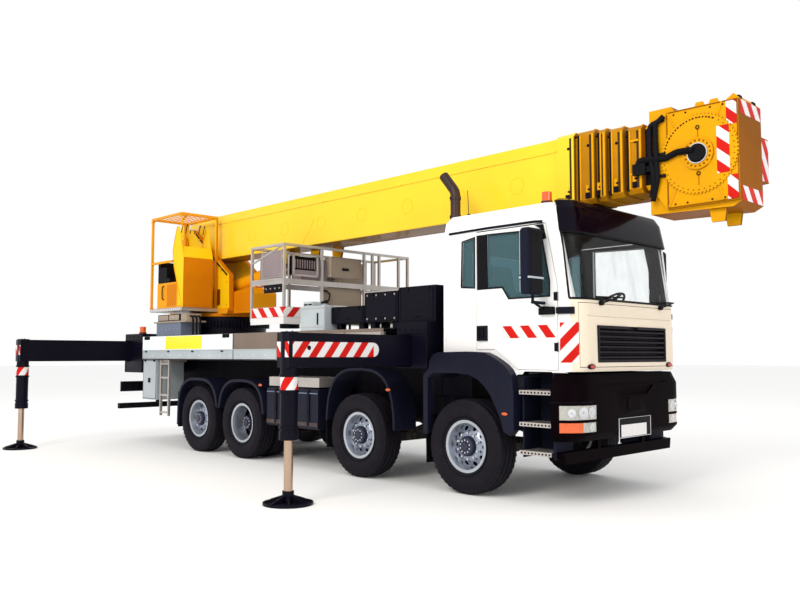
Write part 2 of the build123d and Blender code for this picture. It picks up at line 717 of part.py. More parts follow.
def rear_fittings():
    """Tool locker, ladder, low bar and lamp board at the rear."""
    locker = block(-4705, -4200, -1225, -700, 780, 1486)
    stiles = [block(x, x + 35, -1235, -1195, 520, 1486) for x in (-4070, -3790)]
    rungs = [block(-4040, -3785, -1230, -1200, z, z + 30) for z in (560, 860, 1160, 1400)]
    hook = block(-4070, -3755, -1200, -900, 1440, 1486)
    low_bar = block(REAR_END + 10, REAR_END + 100, -1200, 1200, 560, 660)
    hangers = [block(REAR_END + 60, -5600, y - 40, y + 40, 640, 890) for y in (-410, 410)]
    board = block(REAR_END + 60, REAR_END + 100, -1180, 1180, 880, 1070)
    return [locker, one([*stiles, *rungs, hook]), one([low_bar, *hangers, board])]


def toothed(teeth, tip, root):
    """Closed outline of a toothed ring about the origin."""
    outline = []
    for tooth in range(teeth):
        for share, radius in ((0.05, root), (0.3, tip), (0.55, tip), (0.8, root)):
            turn = 2 * pi * (tooth + share) / teeth
            outline.append((radius * cos(turn), radius * sin(turn)))
    return outline


def slew_ring():
    """Toothed ring that the turret turns on."""
    outline = [(SLEW_X + x, y, 2060) for x, y in toothed(72, SLEW_R, SLEW_R - 38)]
    ring = Solid.extrude(Face(Wire.make_polygon(outline, close=True)), Vector(0, 0, 120))
    base = rod((SLEW_X, 0, DECK_TOP), (SLEW_X, 0, 2062), SLEW_R - 60)
    top = rod((SLEW_X, 0, 2179), (SLEW_X, 0, 2240), SLEW_R - 70)
    bore = rod((SLEW_X, 0, DECK_TOP - 1), (SLEW_X, 0, 2260), 520)
    return one([ring, base, top]) - bore


# Turret

def turret():
    """Turret base, the two cheek plates that carry the boom, and the nose box."""
    base = rod((SLEW_X, 0, 2246), (SLEW_X, 0, 2300), 690)
    table = side_plate([(-4950, 2290), (-3150, 2290), (-3120, 2350), (-3120, 2380), (-4950, 2380)], -480, 480)
    cheek = [(-4950, 2380), (-4950, 3480), (-4820, 4000), (-4560, 4010), (-3139, 2978), (-3120, 2380)]
    right = side_plate(cheek, BOOM_Y - 350, BOOM_Y - 257)
    left = side_plate(cheek, BOOM_Y + 257, BOOM_Y + 350)
    nose_outline = [
        (-3180, 2290), (-2600, 2290), (-2550, 2340), (-2550, 2620), (-2600, 2705), (-2680, 2735),
        (-3180, 2675),
    ]
    nose = side_plate(nose_outline, BOOM_Y - 245, BOOM_Y + 245)
    pins = [
        bar_y(PIVOT[0], PIVOT[1], BOOM_Y - 345, BOOM_Y + 345, 60),
        bar_y(LIFT_LOW[0], LIFT_LOW[1], BOOM_Y - 345, BOOM_Y + 345, 50),
    ]
    counter = block(-5080, -4940, -520, 520, 2290, 2900)
    bosses = [bar_y(PIVOT[0], PIVOT[1], y, y + 30, 130) for y in (BOOM_Y - 380, BOOM_Y + 350)]
    return one([base, table, nose, right, left, counter, *pins, *bosses])


def operator_station():
    """Operator's stand beside the turret: floor, locker, seat, console and the roofed cage."""
    x0, x1, y0, y1 = STAND
    floor_top, roof_z = 2390, 4000
    parts = [block(x0, x1 + 60, y0, y1 - 19, 2330, floor_top)]
    base = floor_top + SEAM
    parts.append(block(x0 + 190, -3660, y0 + 40, y1 - 40, base, 2840))
    cushion = block(x0 + 200, -3960, y0 + 50, -700, 2842, 2925)
    back = block(x0 + 190, x0 + 270, y0 + 50, -700, 2860, 3230)
    armrest = block(x0 + 200, -4080, y0 + 50, y0 + 100, 2920, 3120)
    parts.append(one([cushion, back, armrest]))
    cheek = [
        (-3450, base), (-3620, 2800), (-3740, 3100), (-3790, 3380), (-3740, 3560), (-3650, 3800),
        (-3580, 3800), (-3530, 3560), (-3422, 3250), (-3420, base),
    ]
    panel = [(-3600, base), (-3420, base), (-3420, 3250), (-3530, 3450), (-3600, 3450)]
    cheeks = [side_plate(cheek, y, y + 14) for y in (-1182, -618)]
    parts.append(one([side_plate(panel, -1182, -604), *cheeks]))
    for x, y in ((x0, y0), (x0, y1 - 2 * BAR), (x1 - BAR, y1 - BAR)):
        parts.append(block(x, x + BAR, y, y + BAR, base, roof_z - SEAM))
    ring = block(x0, x1, y0, y1, roof_z, roof_z + BAR)
    ring = ring - block(x0 + BAR, x1 - BAR, y0 + BAR, y1 - BAR, roof_z - 1, roof_z + BAR + 1)
    step_x, step_y = (x1 - x0) / 9, (y1 - y0) / 7
    mesh = [block(x0 + 5, x1 - 5, y0 + i * step_y, y0 + i * step_y + 10, 4026, 4036) for i in range(1, 7)]
    mesh += [block(x0 + i * step_x, x0 + i * step_x + 10, y0 + 5, y1 - 5, 4026, 4036) for i in range(1, 9)]
    parts.append(one([ring, *mesh]))
    parts.append(block(x0 + BAR + SEAM, -3800, y0, y0 + BAR, 3190, 3190 + BAR))
    route = FilletPolyline((-3560, y0 + 50, 3802), (-3560, y0 + 50, 3920), (-3560, y0 + 130, 3986), radius=40)
    parts.append(sweep(Plane(origin=route @ 0, z_dir=route % 0) * Circle(18), route))
    return parts


# Lift cylinder

def along(start, end, near, far):
    """Two points on the line from start to end, at distances near and far from start."""
    a = Vector(start[0], BOOM_Y, start[1])
    b = Vector(end[0], BOOM_Y, end[1])
    run = (b - a).normalized()
    return a + run * near, a + run * far


def lift_barrel():
    """Barrel of the lift cylinder, with the eye on the turret's pin."""
    start, end = along(LIFT_LOW, LIFT_HIGH, 60, 2080)
    barrel = rod(start, end, 130)
    eye = bar_y(LIFT_LOW[0], LIFT_LOW[1], BOOM_Y - 120, BOOM_Y + 120, 110)
    bore = bar_y(LIFT_LOW[0], LIFT_LOW[1], BOOM_Y - 130, BOOM_Y + 130, 50 + PIN_PLAY)
    inner = rod(*along(LIFT_LOW, LIFT_HIGH, 160, 2100), 86)
    return one([barrel, eye]) - bore - inner


def lift_rod():
    """Rod of the lift cylinder, with the eye below the boom."""
    start, end = along(LIFT_LOW, LIFT_HIGH, 200, 2374)
    shaft = rod(start, end, 80)
    eye = bar_y(LIFT_HIGH[0], LIFT_HIGH[1], BOOM_Y - 80, BOOM_Y + 80, 105)
    return one([shaft, eye]) - bar_y(LIFT_HIGH[0], LIFT_HIGH[1], BOOM_Y - 90, BOOM_Y + 90, 50)


# Boom

def boom_tube(row):
    """Hollow boom section with a stepped collar at its front end."""
    half, low, top, rear, front, collar, collar_half, collar_low, collar_top = row
    outer = block(rear, front, BOOM_Y - half, BOOM_Y + half, low, top)
    band = block(collar, front, BOOM_Y - collar_half, BOOM_Y + collar_half, collar_low, collar_top)
    band = chamfer(band.edges().filter_by(Axis.X), 45)
    w = BOOM_WALL
    hole = block(rear - 5, front + 5, BOOM_Y - half + w, BOOM_Y + half - w, low + w, top - w)
    return outer + band - hole


def boom_1():
    """Outer boom section with its pivot tube."""
    boss = bar_y(PIVOT[0], PIVOT[1], BOOM_Y - 245, BOOM_Y + 245, 105)
    ridge = block(-3900, 3640, BOOM_Y - 253, BOOM_Y - 240, 3925, 3945)
    bore = bar_y(PIVOT[0], PIVOT[1], BOOM_Y - 260, BOOM_Y + 260, 60 + PIN_PLAY)
    return one([boom_tube(BOOM_SECTIONS[0]), boss, ridge]) - bore


def lift_ears():
    """Ears below the boom that take the eye of the lift cylinder."""
    low = BOOM_SECTIONS[0][1]
    ear = [(-2280, low), (-1720, low), (-1900, 2900), (-2100, 2900)]
    ears = []
    for y in (BOOM_Y - 130, BOOM_Y + 90):
        out = y - 25 if y < BOOM_Y else y + 39
        ears.append(side_plate(ear, y, y + 40) + bar_y(LIFT_HIGH[0], LIFT_HIGH[1], out, out + 26, 75))
    return ears


def boom_head():
    """Innermost section with the head box, its gear plate, its lugs and the hoses at its side."""
    x0, x1 = HEAD_X
    y0, y1 = HEAD_Y
    z0, z1 = HEAD_Z
    body = [
        (x0, z0), (x1 - 90, z0 - 20), (x1, z0 + 30), (x1, z1 - 70), (x1 - 60, z1 - 5), (5620, z1 - 60),
        (5080, z1 - 60), (5040, z1), (x0, z1),
    ]
    plate = [(4850, 3290), (5000, 3075), (x1, 3085), (x1, 4095), (5010, 4104), (4850, 3880)]
    gear = [(HUB[0] + x, y0, HUB[1] + z) for x, z in toothed(64, GEAR_R, GEAR_R - 18)]
    hub_face = y0 - 32
    lug = [(5400, z0 + 20), (5585, z0 + 20), (5560, 2905), (5425, 2905)]
    return one([
        boom_tube(BOOM_SECTIONS[5]),
        side_plate(body, y0 + 45, y1),
        side_plate(plate, y0, y0 + 46),
        Solid.extrude(Face(Wire.make_polygon(gear, close=True)), Vector(0, -14, 0)),
        bar_y(HUB[0], HUB[1], y0 + 1, hub_face, 165),
        bar_y(HUB[0], HUB[1], hub_face + 1, y0 - 52, 95),
        bar_y(HUB[0], HUB[1], y1 - 5, JIB_Y[0] - 8, 205),
        *[side_plate(lug, y, y + 35) for y in (-240, 130)],
        *head_hoses(),
    ])


def head_hoses():
    """Ribbed conduit from the hub to its box, and the hoses that hang down the head's rear edge."""
    y = HEAD_Y[0] - 40
    box = block(4640, 4790, y - 28, y + 30, 3480, 3600)
    bracket = block(4780, 4870, y - 10, HEAD_Y[0] + 2, 3500, 3560)
    conduit = FilletPolyline(
        (4700, y, 3590), (4700, y, 3635), (5010, y, 3610), (5130, y, 3650), (5330, y - 22, 3640), radius=30
    )
    hoses = [sweep(Plane(origin=conduit @ 0, z_dir=conduit % 0) * Circle(32), conduit), box, bracket]
    for offset in (0, 1):
        route = FilletPolyline(
            (4985, y + 25, 4070 - 30 * offset), (4900 - 60 * offset, y, 3990), (4905 - 70 * offset, y, 3700),
            (4915 - 40 * offset, y, 3400), (4850 - 10 * offset, y + 20, 3180 + 40 * offset), radius=50
        )
        hoses.append(sweep(Plane(origin=route @ 0, z_dir=route % 0) * Circle(27), route))
    hoses.append(block(4830, 5000, y + 12, HEAD_Y[0] + 2, 3650, 3680))
    hoses.append(block(4830, 5000, y + 12, HEAD_Y[0] + 2, 3420, 3450))
    return hoses


def jib():
    """Jib that folds back along the boom's far side, with the ears of the basket's pivot."""
    y0, y1 = JIB_Y
    low, top = JIB_Z
    outline = [
        (JIB_END, low + 60), (JIB_END + 80, low), (5440, low), (5600, low + 10), (5600, top),
        (4600, top), (JIB_END, top - 130),
    ]
    inside = block(JIB_END + 300, 4700, y0 + 10, y1 - 10, low + 12, top - 150)
    ear = [
        (JIB_END, low + 100), (LEVEL_PIN[0] - 70, LEVEL_PIN[1] - 60), (LEVEL_PIN[0] + 70, LEVEL_PIN[1] - 60),
        (-1500, low + 20), (-1500, low + 100),
    ]
    ears = [side_plate(ear, y, y + 45) for y in (y0 + 20, y1 - 65)]
    pin = bar_y(LEVEL_PIN[0], LEVEL_PIN[1], y0 + 30, y1 - 30, 25)
    return one([side_plate(outline, y0, y1) - inside, *ears, pin])


# Basket

def basket():
    """Tubular cage with its floor, toe boards and the lug of its pivot."""
    x0, x1 = BASKET_X
    y0, y1 = BASKET_Y
    rails = ((BASKET_LOW, 205), (2610, 80), (BASKET_TOP - BAR, BAR))
    inner = BAR + SEAM
    floor = block(x0 + inner, x1 - inner, y0 + inner, y1 - inner, BASKET_LOW, BASKET_LOW + 40)
    brace = rod((x0 + 20, y0 + 19, 2960), (x1 - 20, y0 + 19, BASKET_TOP - 20), 14)
    frames = []
    for y in (y0, y1 - BAR):
        bars = [block(x0, x1, y, y + BAR, z, z + deep) for z, deep in rails]
        bars += [block(x, x + BAR, y, y + BAR, BASKET_LOW, BASKET_TOP) for x in (x0, x1 - BAR)]
        frames.append(one([*bars, brace]) if y == y0 else one(bars))
    for x in (x0, x1 - BAR):
        bars = [block(x, x + BAR, y0 + inner, y1 - inner, z, z + deep) for z, deep in rails]
        for y in BASKET_POSTS[1:-1]:
            if x != x0 or y in (-445, 420, 1190):
                bars.append(block(x, x + BAR, y, y + BAR, BASKET_LOW, BASKET_TOP))
        frames.append(one(bars))
    lug = block(LEVEL_PIN[0] - 20, x0 - SEAM, 370, 630, 2640, LEVEL_PIN[1] + 55)
    nose = bar_y(LEVEL_PIN[0], LEVEL_PIN[1], 370, 630, 62)
    bore = bar_y(LEVEL_PIN[0], LEVEL_PIN[1], 360, 640, 25 + PIN_PLAY)
    back = block(x0 - 25, x0 - SEAM, 330, 670, 2600, BASKET_TOP - 20)
    bowl = rod((x1 - 250, -850, 1965), (x1 - 250, -850, BASKET_LOW - SEAM), 150)
    return [floor, *frames, one([lug, nose, back]) - bore, bowl]


def basket_controls():
    """Control box, the panels beside it and the locker on the basket's front side."""
    x0, x1 = BASKET_X
    back = x0 + BAR + 2
    return [
        block(back, back + 120, -1000, -600, 2700, 3100),
        block(back, back + 250, -400, 130, 2740, 3090),
        block(back, back + 200, 460, 1000, 2740, 3110),
        block(x1 - BAR - 24, x1 - BAR - 2, -360, 410, 2330, 2600),
    ]


nodes = {
    "chassis_frame": chassis_frame(),
    "axles": axles(),
    "engine_block": engine_block(),
    "mudguards": mudguards(),
    "cab_shell": cab_shell(),
    "front_panel": front_panel(),
    "grille": grille(),
    "roof_cap": roof_cap(),
    "cab_glass": cab_glass(),
    "cab_interior": cab_interior(),
    "front_bumper": front_bumper(),
    "cab_steps": cab_steps(),
    "lamps": lamps(),
    "deck": deck(),
    "outrigger_housings": outrigger_housings(),
    "side_boxes": side_boxes(),
    "deck_cabinets": deck_cabinets(),
    "exhaust_stack": exhaust_stack(),
    "rear_fittings": rear_fittings(),
    "slew_ring": slew_ring(),
    "turret": turret(),
    "operator_station": operator_station(),
    "lift_barrel": lift_barrel(),
    "lift_rod": lift_rod(),
    "boom_1": boom_1(),
    "lift_ears": lift_ears(),
    "boom_6": boom_head(),
    "jib": jib(),
    "basket": basket(),
    "basket_controls": basket_controls(),
}
for number in range(2, 6):
    nodes[f"boom_{number}"] = boom_tube(BOOM_SECTIONS[number - 1])
for hand, side in (("right", -1), ("left", 1)):
    nodes[f"door_{hand}"] = door(side)
    nodes[f"door_glass_{hand}"] = door_glass(side)
    for number, x in AXLE_X.items():
        wheel = steer_wheel if number in STEERED else twin_wheel
        nodes[f"wheel_{number}_{hand}"] = wheel(x, side)
        if number in STEERED:
            nodes[f"knuckle_{number}_{hand}"] = knuckle(x, side)
for name in OUTRIGGERS:
    nodes[f"beam_{name}"] = outrigger_beam(name)
    nodes[f"jack_{name}"] = jack(name)

os.makedirs("parts", exist_ok=True)
for name, shape in nodes.items():
    solids = shape if isinstance(shape, list) else [shape]
    export_step(Compound(children=solids), f"parts/{name}.step")
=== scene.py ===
import json
import math

import bmesh
import bpy
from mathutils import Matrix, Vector


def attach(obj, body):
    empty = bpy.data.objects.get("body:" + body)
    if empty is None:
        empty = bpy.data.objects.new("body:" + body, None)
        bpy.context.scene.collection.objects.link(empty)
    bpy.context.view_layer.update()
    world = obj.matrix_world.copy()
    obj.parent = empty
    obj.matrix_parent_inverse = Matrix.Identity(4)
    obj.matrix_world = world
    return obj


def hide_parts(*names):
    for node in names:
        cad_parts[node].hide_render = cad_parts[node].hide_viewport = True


# Looks of the truck-mounted aerial work platform. Metres. X forward, Y left, Z up, as in the frame.

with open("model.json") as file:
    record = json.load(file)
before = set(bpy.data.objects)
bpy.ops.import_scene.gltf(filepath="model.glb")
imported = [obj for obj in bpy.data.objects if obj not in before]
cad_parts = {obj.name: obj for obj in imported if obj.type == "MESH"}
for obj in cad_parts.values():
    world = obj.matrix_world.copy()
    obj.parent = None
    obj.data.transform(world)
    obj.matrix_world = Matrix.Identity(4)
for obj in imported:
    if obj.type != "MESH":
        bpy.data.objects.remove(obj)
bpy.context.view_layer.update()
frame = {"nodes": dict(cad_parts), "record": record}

RIGHT, LEFT = SIDES = (-1, 1)
HANDS = (("right", RIGHT), ("left", LEFT))
UP = Vector((0, 0, 1))
LEFTWARD = Vector((0, 1, 0))
RIGHTWARD = Vector((0, -1, 0))
FORWARD = Vector((1, 0, 0))

AXLE_X = {1: 2.95, 2: 1.135, 3: -1.54, 4: -2.8}
STEERED = (1, 2, 4)
TYRE_R = 0.535
CAB_HALF = 1.12
HALF_WIDTH = 1.25
BOOM_Y = -0.105

# The camera stands where the photograph was taken from
CAMERA_AT = Vector((8.980, -8.156, 1.555))
CAMERA_YAW = math.radians(44.476)
CAMERA_PITCH = math.radians(3.958)
LENS_MM = 36.25
SENSOR_MM = 36.0


# Materials

DUST = (0.34, 0.28, 0.22)


class Nodes:
    """Short calls that add shader nodes to one material and link them."""

    def __init__(self, name):
        self.material = bpy.data.materials.new(name)
        self.material.use_nodes = True
        self.tree = self.material.node_tree
        self.shader = self.tree.nodes["Principled BSDF"]
        self.place = self.tree.nodes.new("ShaderNodeTexCoord").outputs["Object"]

    def put(self, socket, value):
        """Link a socket, or set it to a plain value."""
        if isinstance(value, bpy.types.NodeSocket):
            self.tree.links.new(value, socket)
        else:
            socket.default_value = value

    def set(self, **values):
        """Set the shader's inputs, named by their labels with underscores, to plain values or sockets."""
        for label, value in values.items():
            self.put(self.shader.inputs[label.replace("_", " ")], value)

    def noise(self, scale, detail=3.0, stretch=(1, 1, 1)):
        mapping = self.tree.nodes.new("ShaderNodeMapping")
        mapping.inputs["Scale"].default_value = stretch
        self.tree.links.new(self.place, mapping.inputs["Vector"])
        node = self.tree.nodes.new("ShaderNodeTexNoise")
        node.inputs["Scale"].default_value = scale
        node.inputs["Detail"].default_value = detail
        self.tree.links.new(mapping.outputs["Vector"], node.inputs["Vector"])
        return node.outputs["Fac"]

    def math(self, operation, a, b=0.0):
        node = self.tree.nodes.new("ShaderNodeMath")
        node.operation = operation
        self.put(node.inputs[0], a)
        self.put(node.inputs[1], b)
        return node.outputs["Value"]

    def spread(self, value, low, high, to_low=0.0, to_high=1.0):
        """Move a value from one range to another, clamped."""
        node = self.tree.nodes.new("ShaderNodeMapRange")
        ends = {"Value": value, "From Min": low, "From Max": high, "To Min": to_low, "To Max": to_high}
        for label, end in ends.items():
            self.put(node.inputs[label], end)
        return node.outputs["Result"]

    def mix(self, factor, a, b):
        """Blend two colours, each a socket or three plain parts."""
        node = self.tree.nodes.new("ShaderNodeMix")
        node.data_type = "RGBA"
        self.put(node.inputs[0], factor)
        for socket, colour in zip(node.inputs[6:8], (a, b)):
            self.put(socket, colour if isinstance(colour, bpy.types.NodeSocket) else (*colour, 1.0))
        return node.outputs[2]

    def axis(self, letter):
        node = self.tree.nodes.new("ShaderNodeSeparateXYZ")
        self.tree.links.new(self.place, node.inputs["Vector"])
        return node.outputs[letter]

    def bump(self, height, strength, distance=0.002):
        node = self.tree.nodes.new("ShaderNodeBump")
        node.inputs["Strength"].default_value = strength
        node.inputs["Distance"].default_value = distance
        self.tree.links.new(height, node.inputs["Height"])
        self.tree.links.new(node.outputs["Normal"], self.shader.inputs["Normal"])


def darker(colour, share):
    return tuple(part * share for part in colour)


def surface(name, colour, rough, metal=0.0, coat=0.0, shade=0.82, dust=0.0, dust_top=1.6, grain=90.0, bump=0.05,
            shine=0.5):
    """Painted, moulded or bare surface: patchy tone, run-down dust that thins upwards, and a fine skin."""
    n = Nodes(name)
    patches = n.noise(1.7, 4.0)
    streaks = n.noise(3.0, 5.0, (4.0, 4.0, 0.45))
    skin = n.noise(grain, 2.0)
    tone = n.mix(n.spread(patches, 0.3, 0.7), darker(colour, shade), colour)
    height = n.spread(n.axis("Z"), 0.1, dust_top, 1.0, 0.12)
    cover = n.math("MULTIPLY", n.spread(streaks, 0.42, 0.72), height)
    cover = n.math("MULTIPLY", cover, dust)
    n.set(Base_Color=n.mix(cover, tone, DUST))
    worn = n.spread(skin, 0.2, 0.8, max(rough - 0.07, 0.03), min(rough + 0.1, 1.0))
    n.set(Roughness=n.math("ADD", worn, n.math("MULTIPLY", cover, 0.3)))
    n.set(Metallic=metal, Specular_IOR_Level=shine, Coat_Weight=coat, Coat_Roughness=0.06)
    n.bump(skin, bump)
    return n.material


def glass(name, colour, transmission, shine=0.5):
    """Tinted pane with a faint film of dust."""
    n = Nodes(name)
    film = n.spread(n.noise(5.0, 4.0, (1, 1, 0.4)), 0.45, 0.8)
    n.set(Base_Color=n.mix(film, colour, darker(colour, 0.8)))
    n.set(Roughness=n.math("ADD", n.math("MULTIPLY", film, 0.05), 0.02))
    n.set(Transmission_Weight=transmission, IOR=1.12, Specular_IOR_Level=shine)
    return n.material


def lens(name, colour, glow=0.0, transmission=0.55):
    """Moulded lamp lens with fine flutes."""
    n = Nodes(name)
    flutes = n.noise(160.0, 1.0, (1, 1, 0.1))
    n.set(Base_Color=n.mix(n.spread(flutes, 0.3, 0.7), darker(colour, 0.75), colour), Roughness=0.12)
    n.set(Transmission_Weight=transmission, Coat_Weight=0.6)
    n.set(Emission_Color=(*colour, 1.0), Emission_Strength=glow)
    n.bump(flutes, 0.4)
    return n.material


def chequer_plate(name, colour):
    """Raised bars in two directions on a bright walking surface."""
    n = Nodes(name)
    x, y = n.axis("X"), n.axis("Y")
    a = n.math("SINE", n.math("MULTIPLY", n.math("ADD", x, y), 150.0))
    b = n.math("SINE", n.math("MULTIPLY", n.math("SUBTRACT", x, y), 150.0))
    bars = n.spread(n.math("MULTIPLY", a, b), 0.25, 0.55)
    wear = n.noise(6.0, 5.0)
    dull = n.mix(n.spread(wear, 0.35, 0.7), darker(colour, 0.55), darker(colour, 0.8))
    n.set(Base_Color=n.mix(bars, dull, colour), Roughness=n.spread(wear, 0.3, 0.7, 0.3, 0.55), Metallic=0.7)
    n.bump(bars, 0.6, 0.003)
    return n.material


def tyre_rubber(name):
    """Black rubber with patches of dirt and a fine grain."""
    n = Nodes(name)
    dirt = n.noise(7.0, 6.0)
    fine = n.noise(140.0, 3.0)
    n.set(Base_Color=n.mix(n.spread(dirt, 0.45, 0.8, 0.0, 0.45), (0.005, 0.004, 0.008), (0.016, 0.013, 0.016)))
    n.set(Roughness=n.spread(fine, 0.3, 0.7, 0.55, 0.8), Specular_IOR_Level=0.15)
    n.bump(fine, 0.25)
    return n.material


SURFACES = {
    # name: colour, roughness, and what else departs from a plain surface
    "cab_white": ((0.86, 0.86, 0.86), 0.3, dict(coat=0.4, shade=0.96, dust=0.06, dust_top=2.0)),
    "cab_cream": ((0.76, 0.66, 0.52), 0.3, dict(coat=0.3, shade=0.95, dust=0.08, dust_top=2.0, shine=0.2)),
    "hood_black": ((0.003, 0.001, 0.006), 0.14, dict(coat=0.12, shade=0.7, bump=0.01, shine=0.04)),
    "trim_black": ((0.008, 0.009, 0.018), 0.5, dict(shade=0.7, dust=0.02, dust_top=1.4, shine=0.05)),
    "grille": ((0.016, 0.012, 0.018), 0.45, dict(shade=0.7, dust=0.05, dust_top=1.4, shine=0.08)),
    "moulding": ((0.010, 0.012, 0.026), 0.5, dict(shade=0.75, dust=0.02, grain=240, bump=0.15, shine=0.05)),
    "fender": ((0.008, 0.009, 0.022), 0.38, dict(shade=0.75, dust=0.01, grain=200, shine=0.12)),
    "bumper": ((0.003, 0.001, 0.002), 0.45, dict(shade=0.7, dust=0.002, dust_top=1.2, grain=200, shine=0.015)),
    "chassis": ((0.006, 0.005, 0.009), 0.45, dict(shade=0.65, dust=0.03, dust_top=1.8, shine=0.05)),
    "steel_black": ((0.004, 0.0035, 0.010), 0.36, dict(shade=0.7, dust=0.01, dust_top=1.0, shine=0.08)),
    "iron": ((0.03, 0.025, 0.026), 0.65, dict(metal=0.3, shade=0.6, dust=0.25, grain=45, bump=0.3, shine=0.3)),
    "engine": (
        (0.09, 0.09, 0.10), 0.6,
        dict(metal=0.3, shade=0.6, dust=0.3, dust_top=1.9, grain=40, bump=0.3, shine=0.2),
    ),
    "interior": ((0.010, 0.008, 0.009), 0.75, dict(shade=0.8, grain=300, bump=0.2, shine=0.03)),
    "seat_cloth": ((0.03, 0.032, 0.05), 0.9, dict(shade=0.6, grain=500, bump=0.5, shine=0.2)),
    "deck_side": ((0.21, 0.16, 0.13), 0.4, dict(metal=0.2, shade=0.85, dust=0.12, dust_top=2.6, shine=0.1)),
    "deck_bright": ((0.84, 0.93, 0.96), 0.35, dict(shade=0.9, dust=0.05, dust_top=2.6, shine=0.2)),
    "deck_rail": ((0.42, 0.38, 0.35), 0.35, dict(metal=0.5, shade=0.7, dust=0.15, dust_top=2.4)),
    "alloy": ((0.52, 0.48, 0.45), 0.32, dict(metal=0.6, shade=0.75, grain=160, bump=0.04)),
    "alloy_panel": ((0.30, 0.24, 0.25), 0.42, dict(metal=0.35, shade=0.8, dust=0.08, dust_top=4.0, shine=0.1)),
    "beige_box": ((0.36, 0.29, 0.22), 0.4, dict(shade=0.85, dust=0.08, dust_top=4.0, shine=0.1)),
    "tank_grey": ((0.44, 0.49, 0.52), 0.4, dict(shade=0.85, dust=0.08, dust_top=3.0)),
    "blue_grey": ((0.13, 0.16, 0.24), 0.4, dict(shade=0.8, dust=0.08, dust_top=3.0)),
    "brown_rail": ((0.055, 0.035, 0.035), 0.45, dict(shade=0.75, dust=0.1, shine=0.3)),
    "turret": ((0.84, 0.34, 0.002), 0.42, dict(coat=0.05, shine=0.08, shade=0.86, dust=0.04, dust_top=4.0)),
    # The turret's orange darkened as painted shade.
    "turret_front": ((0.66, 0.20, 0.001), 0.45, dict(coat=0.03, shine=0.05, shade=0.84, dust=0.04, dust_top=4.0)),
    # The turret's orange made brighter and yellower as painted light.
    "cheek": ((0.92, 0.56, 0.004), 0.42, dict(coat=0.05, shine=0.08, shade=0.9, dust=0.03, dust_top=4.0)),
    "boom": ((0.93, 0.61, 0.022), 0.34, dict(coat=0.15, shine=0.2, shade=0.94, dust=0.03, dust_top=5.0)),
    # The boom's yellow darkened as painted shade, for the forward ends and undersides of the sections.
    "boom_painted_shade": ((0.36, 0.155, 0.006), 0.4, dict(coat=0.15, shade=0.75, dust=0.04, dust_top=5.0, shine=0.03)),
    # Near black painted shade for the hollows of the boom sections and the gaps at their collars.
    "boom_recess_shade": ((0.05, 0.024, 0.008), 0.7, dict(shade=0.6, shine=0.2)),
    # Orange of the inner boom sections, darkened with painted shade for the gaps between the bright lips.
    "collar": ((0.50, 0.21, 0.002), 0.45, dict(coat=0.05, shine=0.04, shade=0.7, dust=0.05, dust_top=5.0)),
    "head": ((0.74, 0.34, 0.001), 0.42, dict(coat=0.05, shine=0.05, shade=0.86, dust=0.04, dust_top=5.0)),
    # The head's orange darkened as painted shade, for forward ends and undersides of the head and jib; also used
    # on some bolts, bars and a border.
    "head_dark": ((0.27, 0.085, 0.001), 0.45, dict(coat=0.03, shine=0.02, shade=0.82, dust=0.05, dust_top=5.0)),
    "slot_red": ((0.20, 0.03, 0.004), 0.5, dict(shade=0.8, shine=0.1)),
    "red": ((0.58, 0.007, 0.003), 0.45, dict(coat=0.05, shade=0.86, dust=0.02, dust_top=4.0, shine=0.1)),
    "white": ((0.72, 0.71, 0.71), 0.4, dict(coat=0.2, shade=0.93, dust=0.06, dust_top=4.0)),
    "yellow_plate": ((0.84, 0.80, 0.015), 0.4, dict(coat=0.2, shade=0.92, dust=0.04, dust_top=4.0)),
    "chrome": ((0.52, 0.37, 0.27), 0.2, dict(metal=1.0, shade=0.8, dust=0.04, dust_top=1.0, bump=0.01)),
    "rim": ((0.52, 0.56, 0.62), 0.3, dict(metal=0.75, shade=0.75, dust=0.12, dust_top=1.2, grain=120)),
    "disc": ((0.36, 0.40, 0.50), 0.35, dict(metal=0.7, shade=0.7, dust=0.06, dust_top=1.2, grain=120)),
    "hub_navy": ((0.02, 0.026, 0.06), 0.35, dict(metal=0.3, shade=0.7, dust=0.08, dust_top=1.2)),
    "bright": ((0.72, 0.73, 0.75), 0.2, dict(metal=1.0, shade=0.85, bump=0.01)),
    "exhaust": ((0.055, 0.025, 0.022), 0.42, dict(metal=0.5, shade=0.5, dust=0.05, dust_top=4.0, grain=60)),
    "shield": ((0.42, 0.36, 0.29), 0.4, dict(metal=0.5, shade=0.7, dust=0.1, dust_top=4.0)),
    "rubber": ((0.005, 0.005, 0.007), 0.5, dict(shade=0.7, grain=200, bump=0.1, shine=0.08)),
    "lamp_foot": ((0.06, 0.006, 0.006), 0.5, dict(shade=0.7)),
    "mirror": ((0.75, 0.78, 0.8), 0.05, dict(metal=1.0, shade=0.97, bump=0.0)),
}
MATS = {name: surface(name, colour, rough, **more) for name, (colour, rough, more) in SURFACES.items()}
MATS |= {
    "deck_top": chequer_plate("deck_top", (0.5, 0.48, 0.46)),
    "tyre": tyre_rubber("tyre_rubber"),
    "pane_side": glass("pane_side", (0.17, 0.31, 0.35), 0.72),
    "pane_front": glass("pane_front", (0.97, 0.99, 0.99), 0.995, shine=0.12),
    "lens_clear": lens("lens_clear", (0.86, 0.85, 0.78)),
    "lens_orange": lens("lens_orange", (0.86, 0.13, 0.006), 0.1, 0.3),
    "lens_red": lens("lens_red", (0.55, 0.010, 0.008), 0.1, 0.3),
}


# Building of pieces

BODY_OF = {node: body for body, nodes in frame["record"]["behaviour"]["bodies"].items() for node in nodes}
SMOOTH_DEG = 35


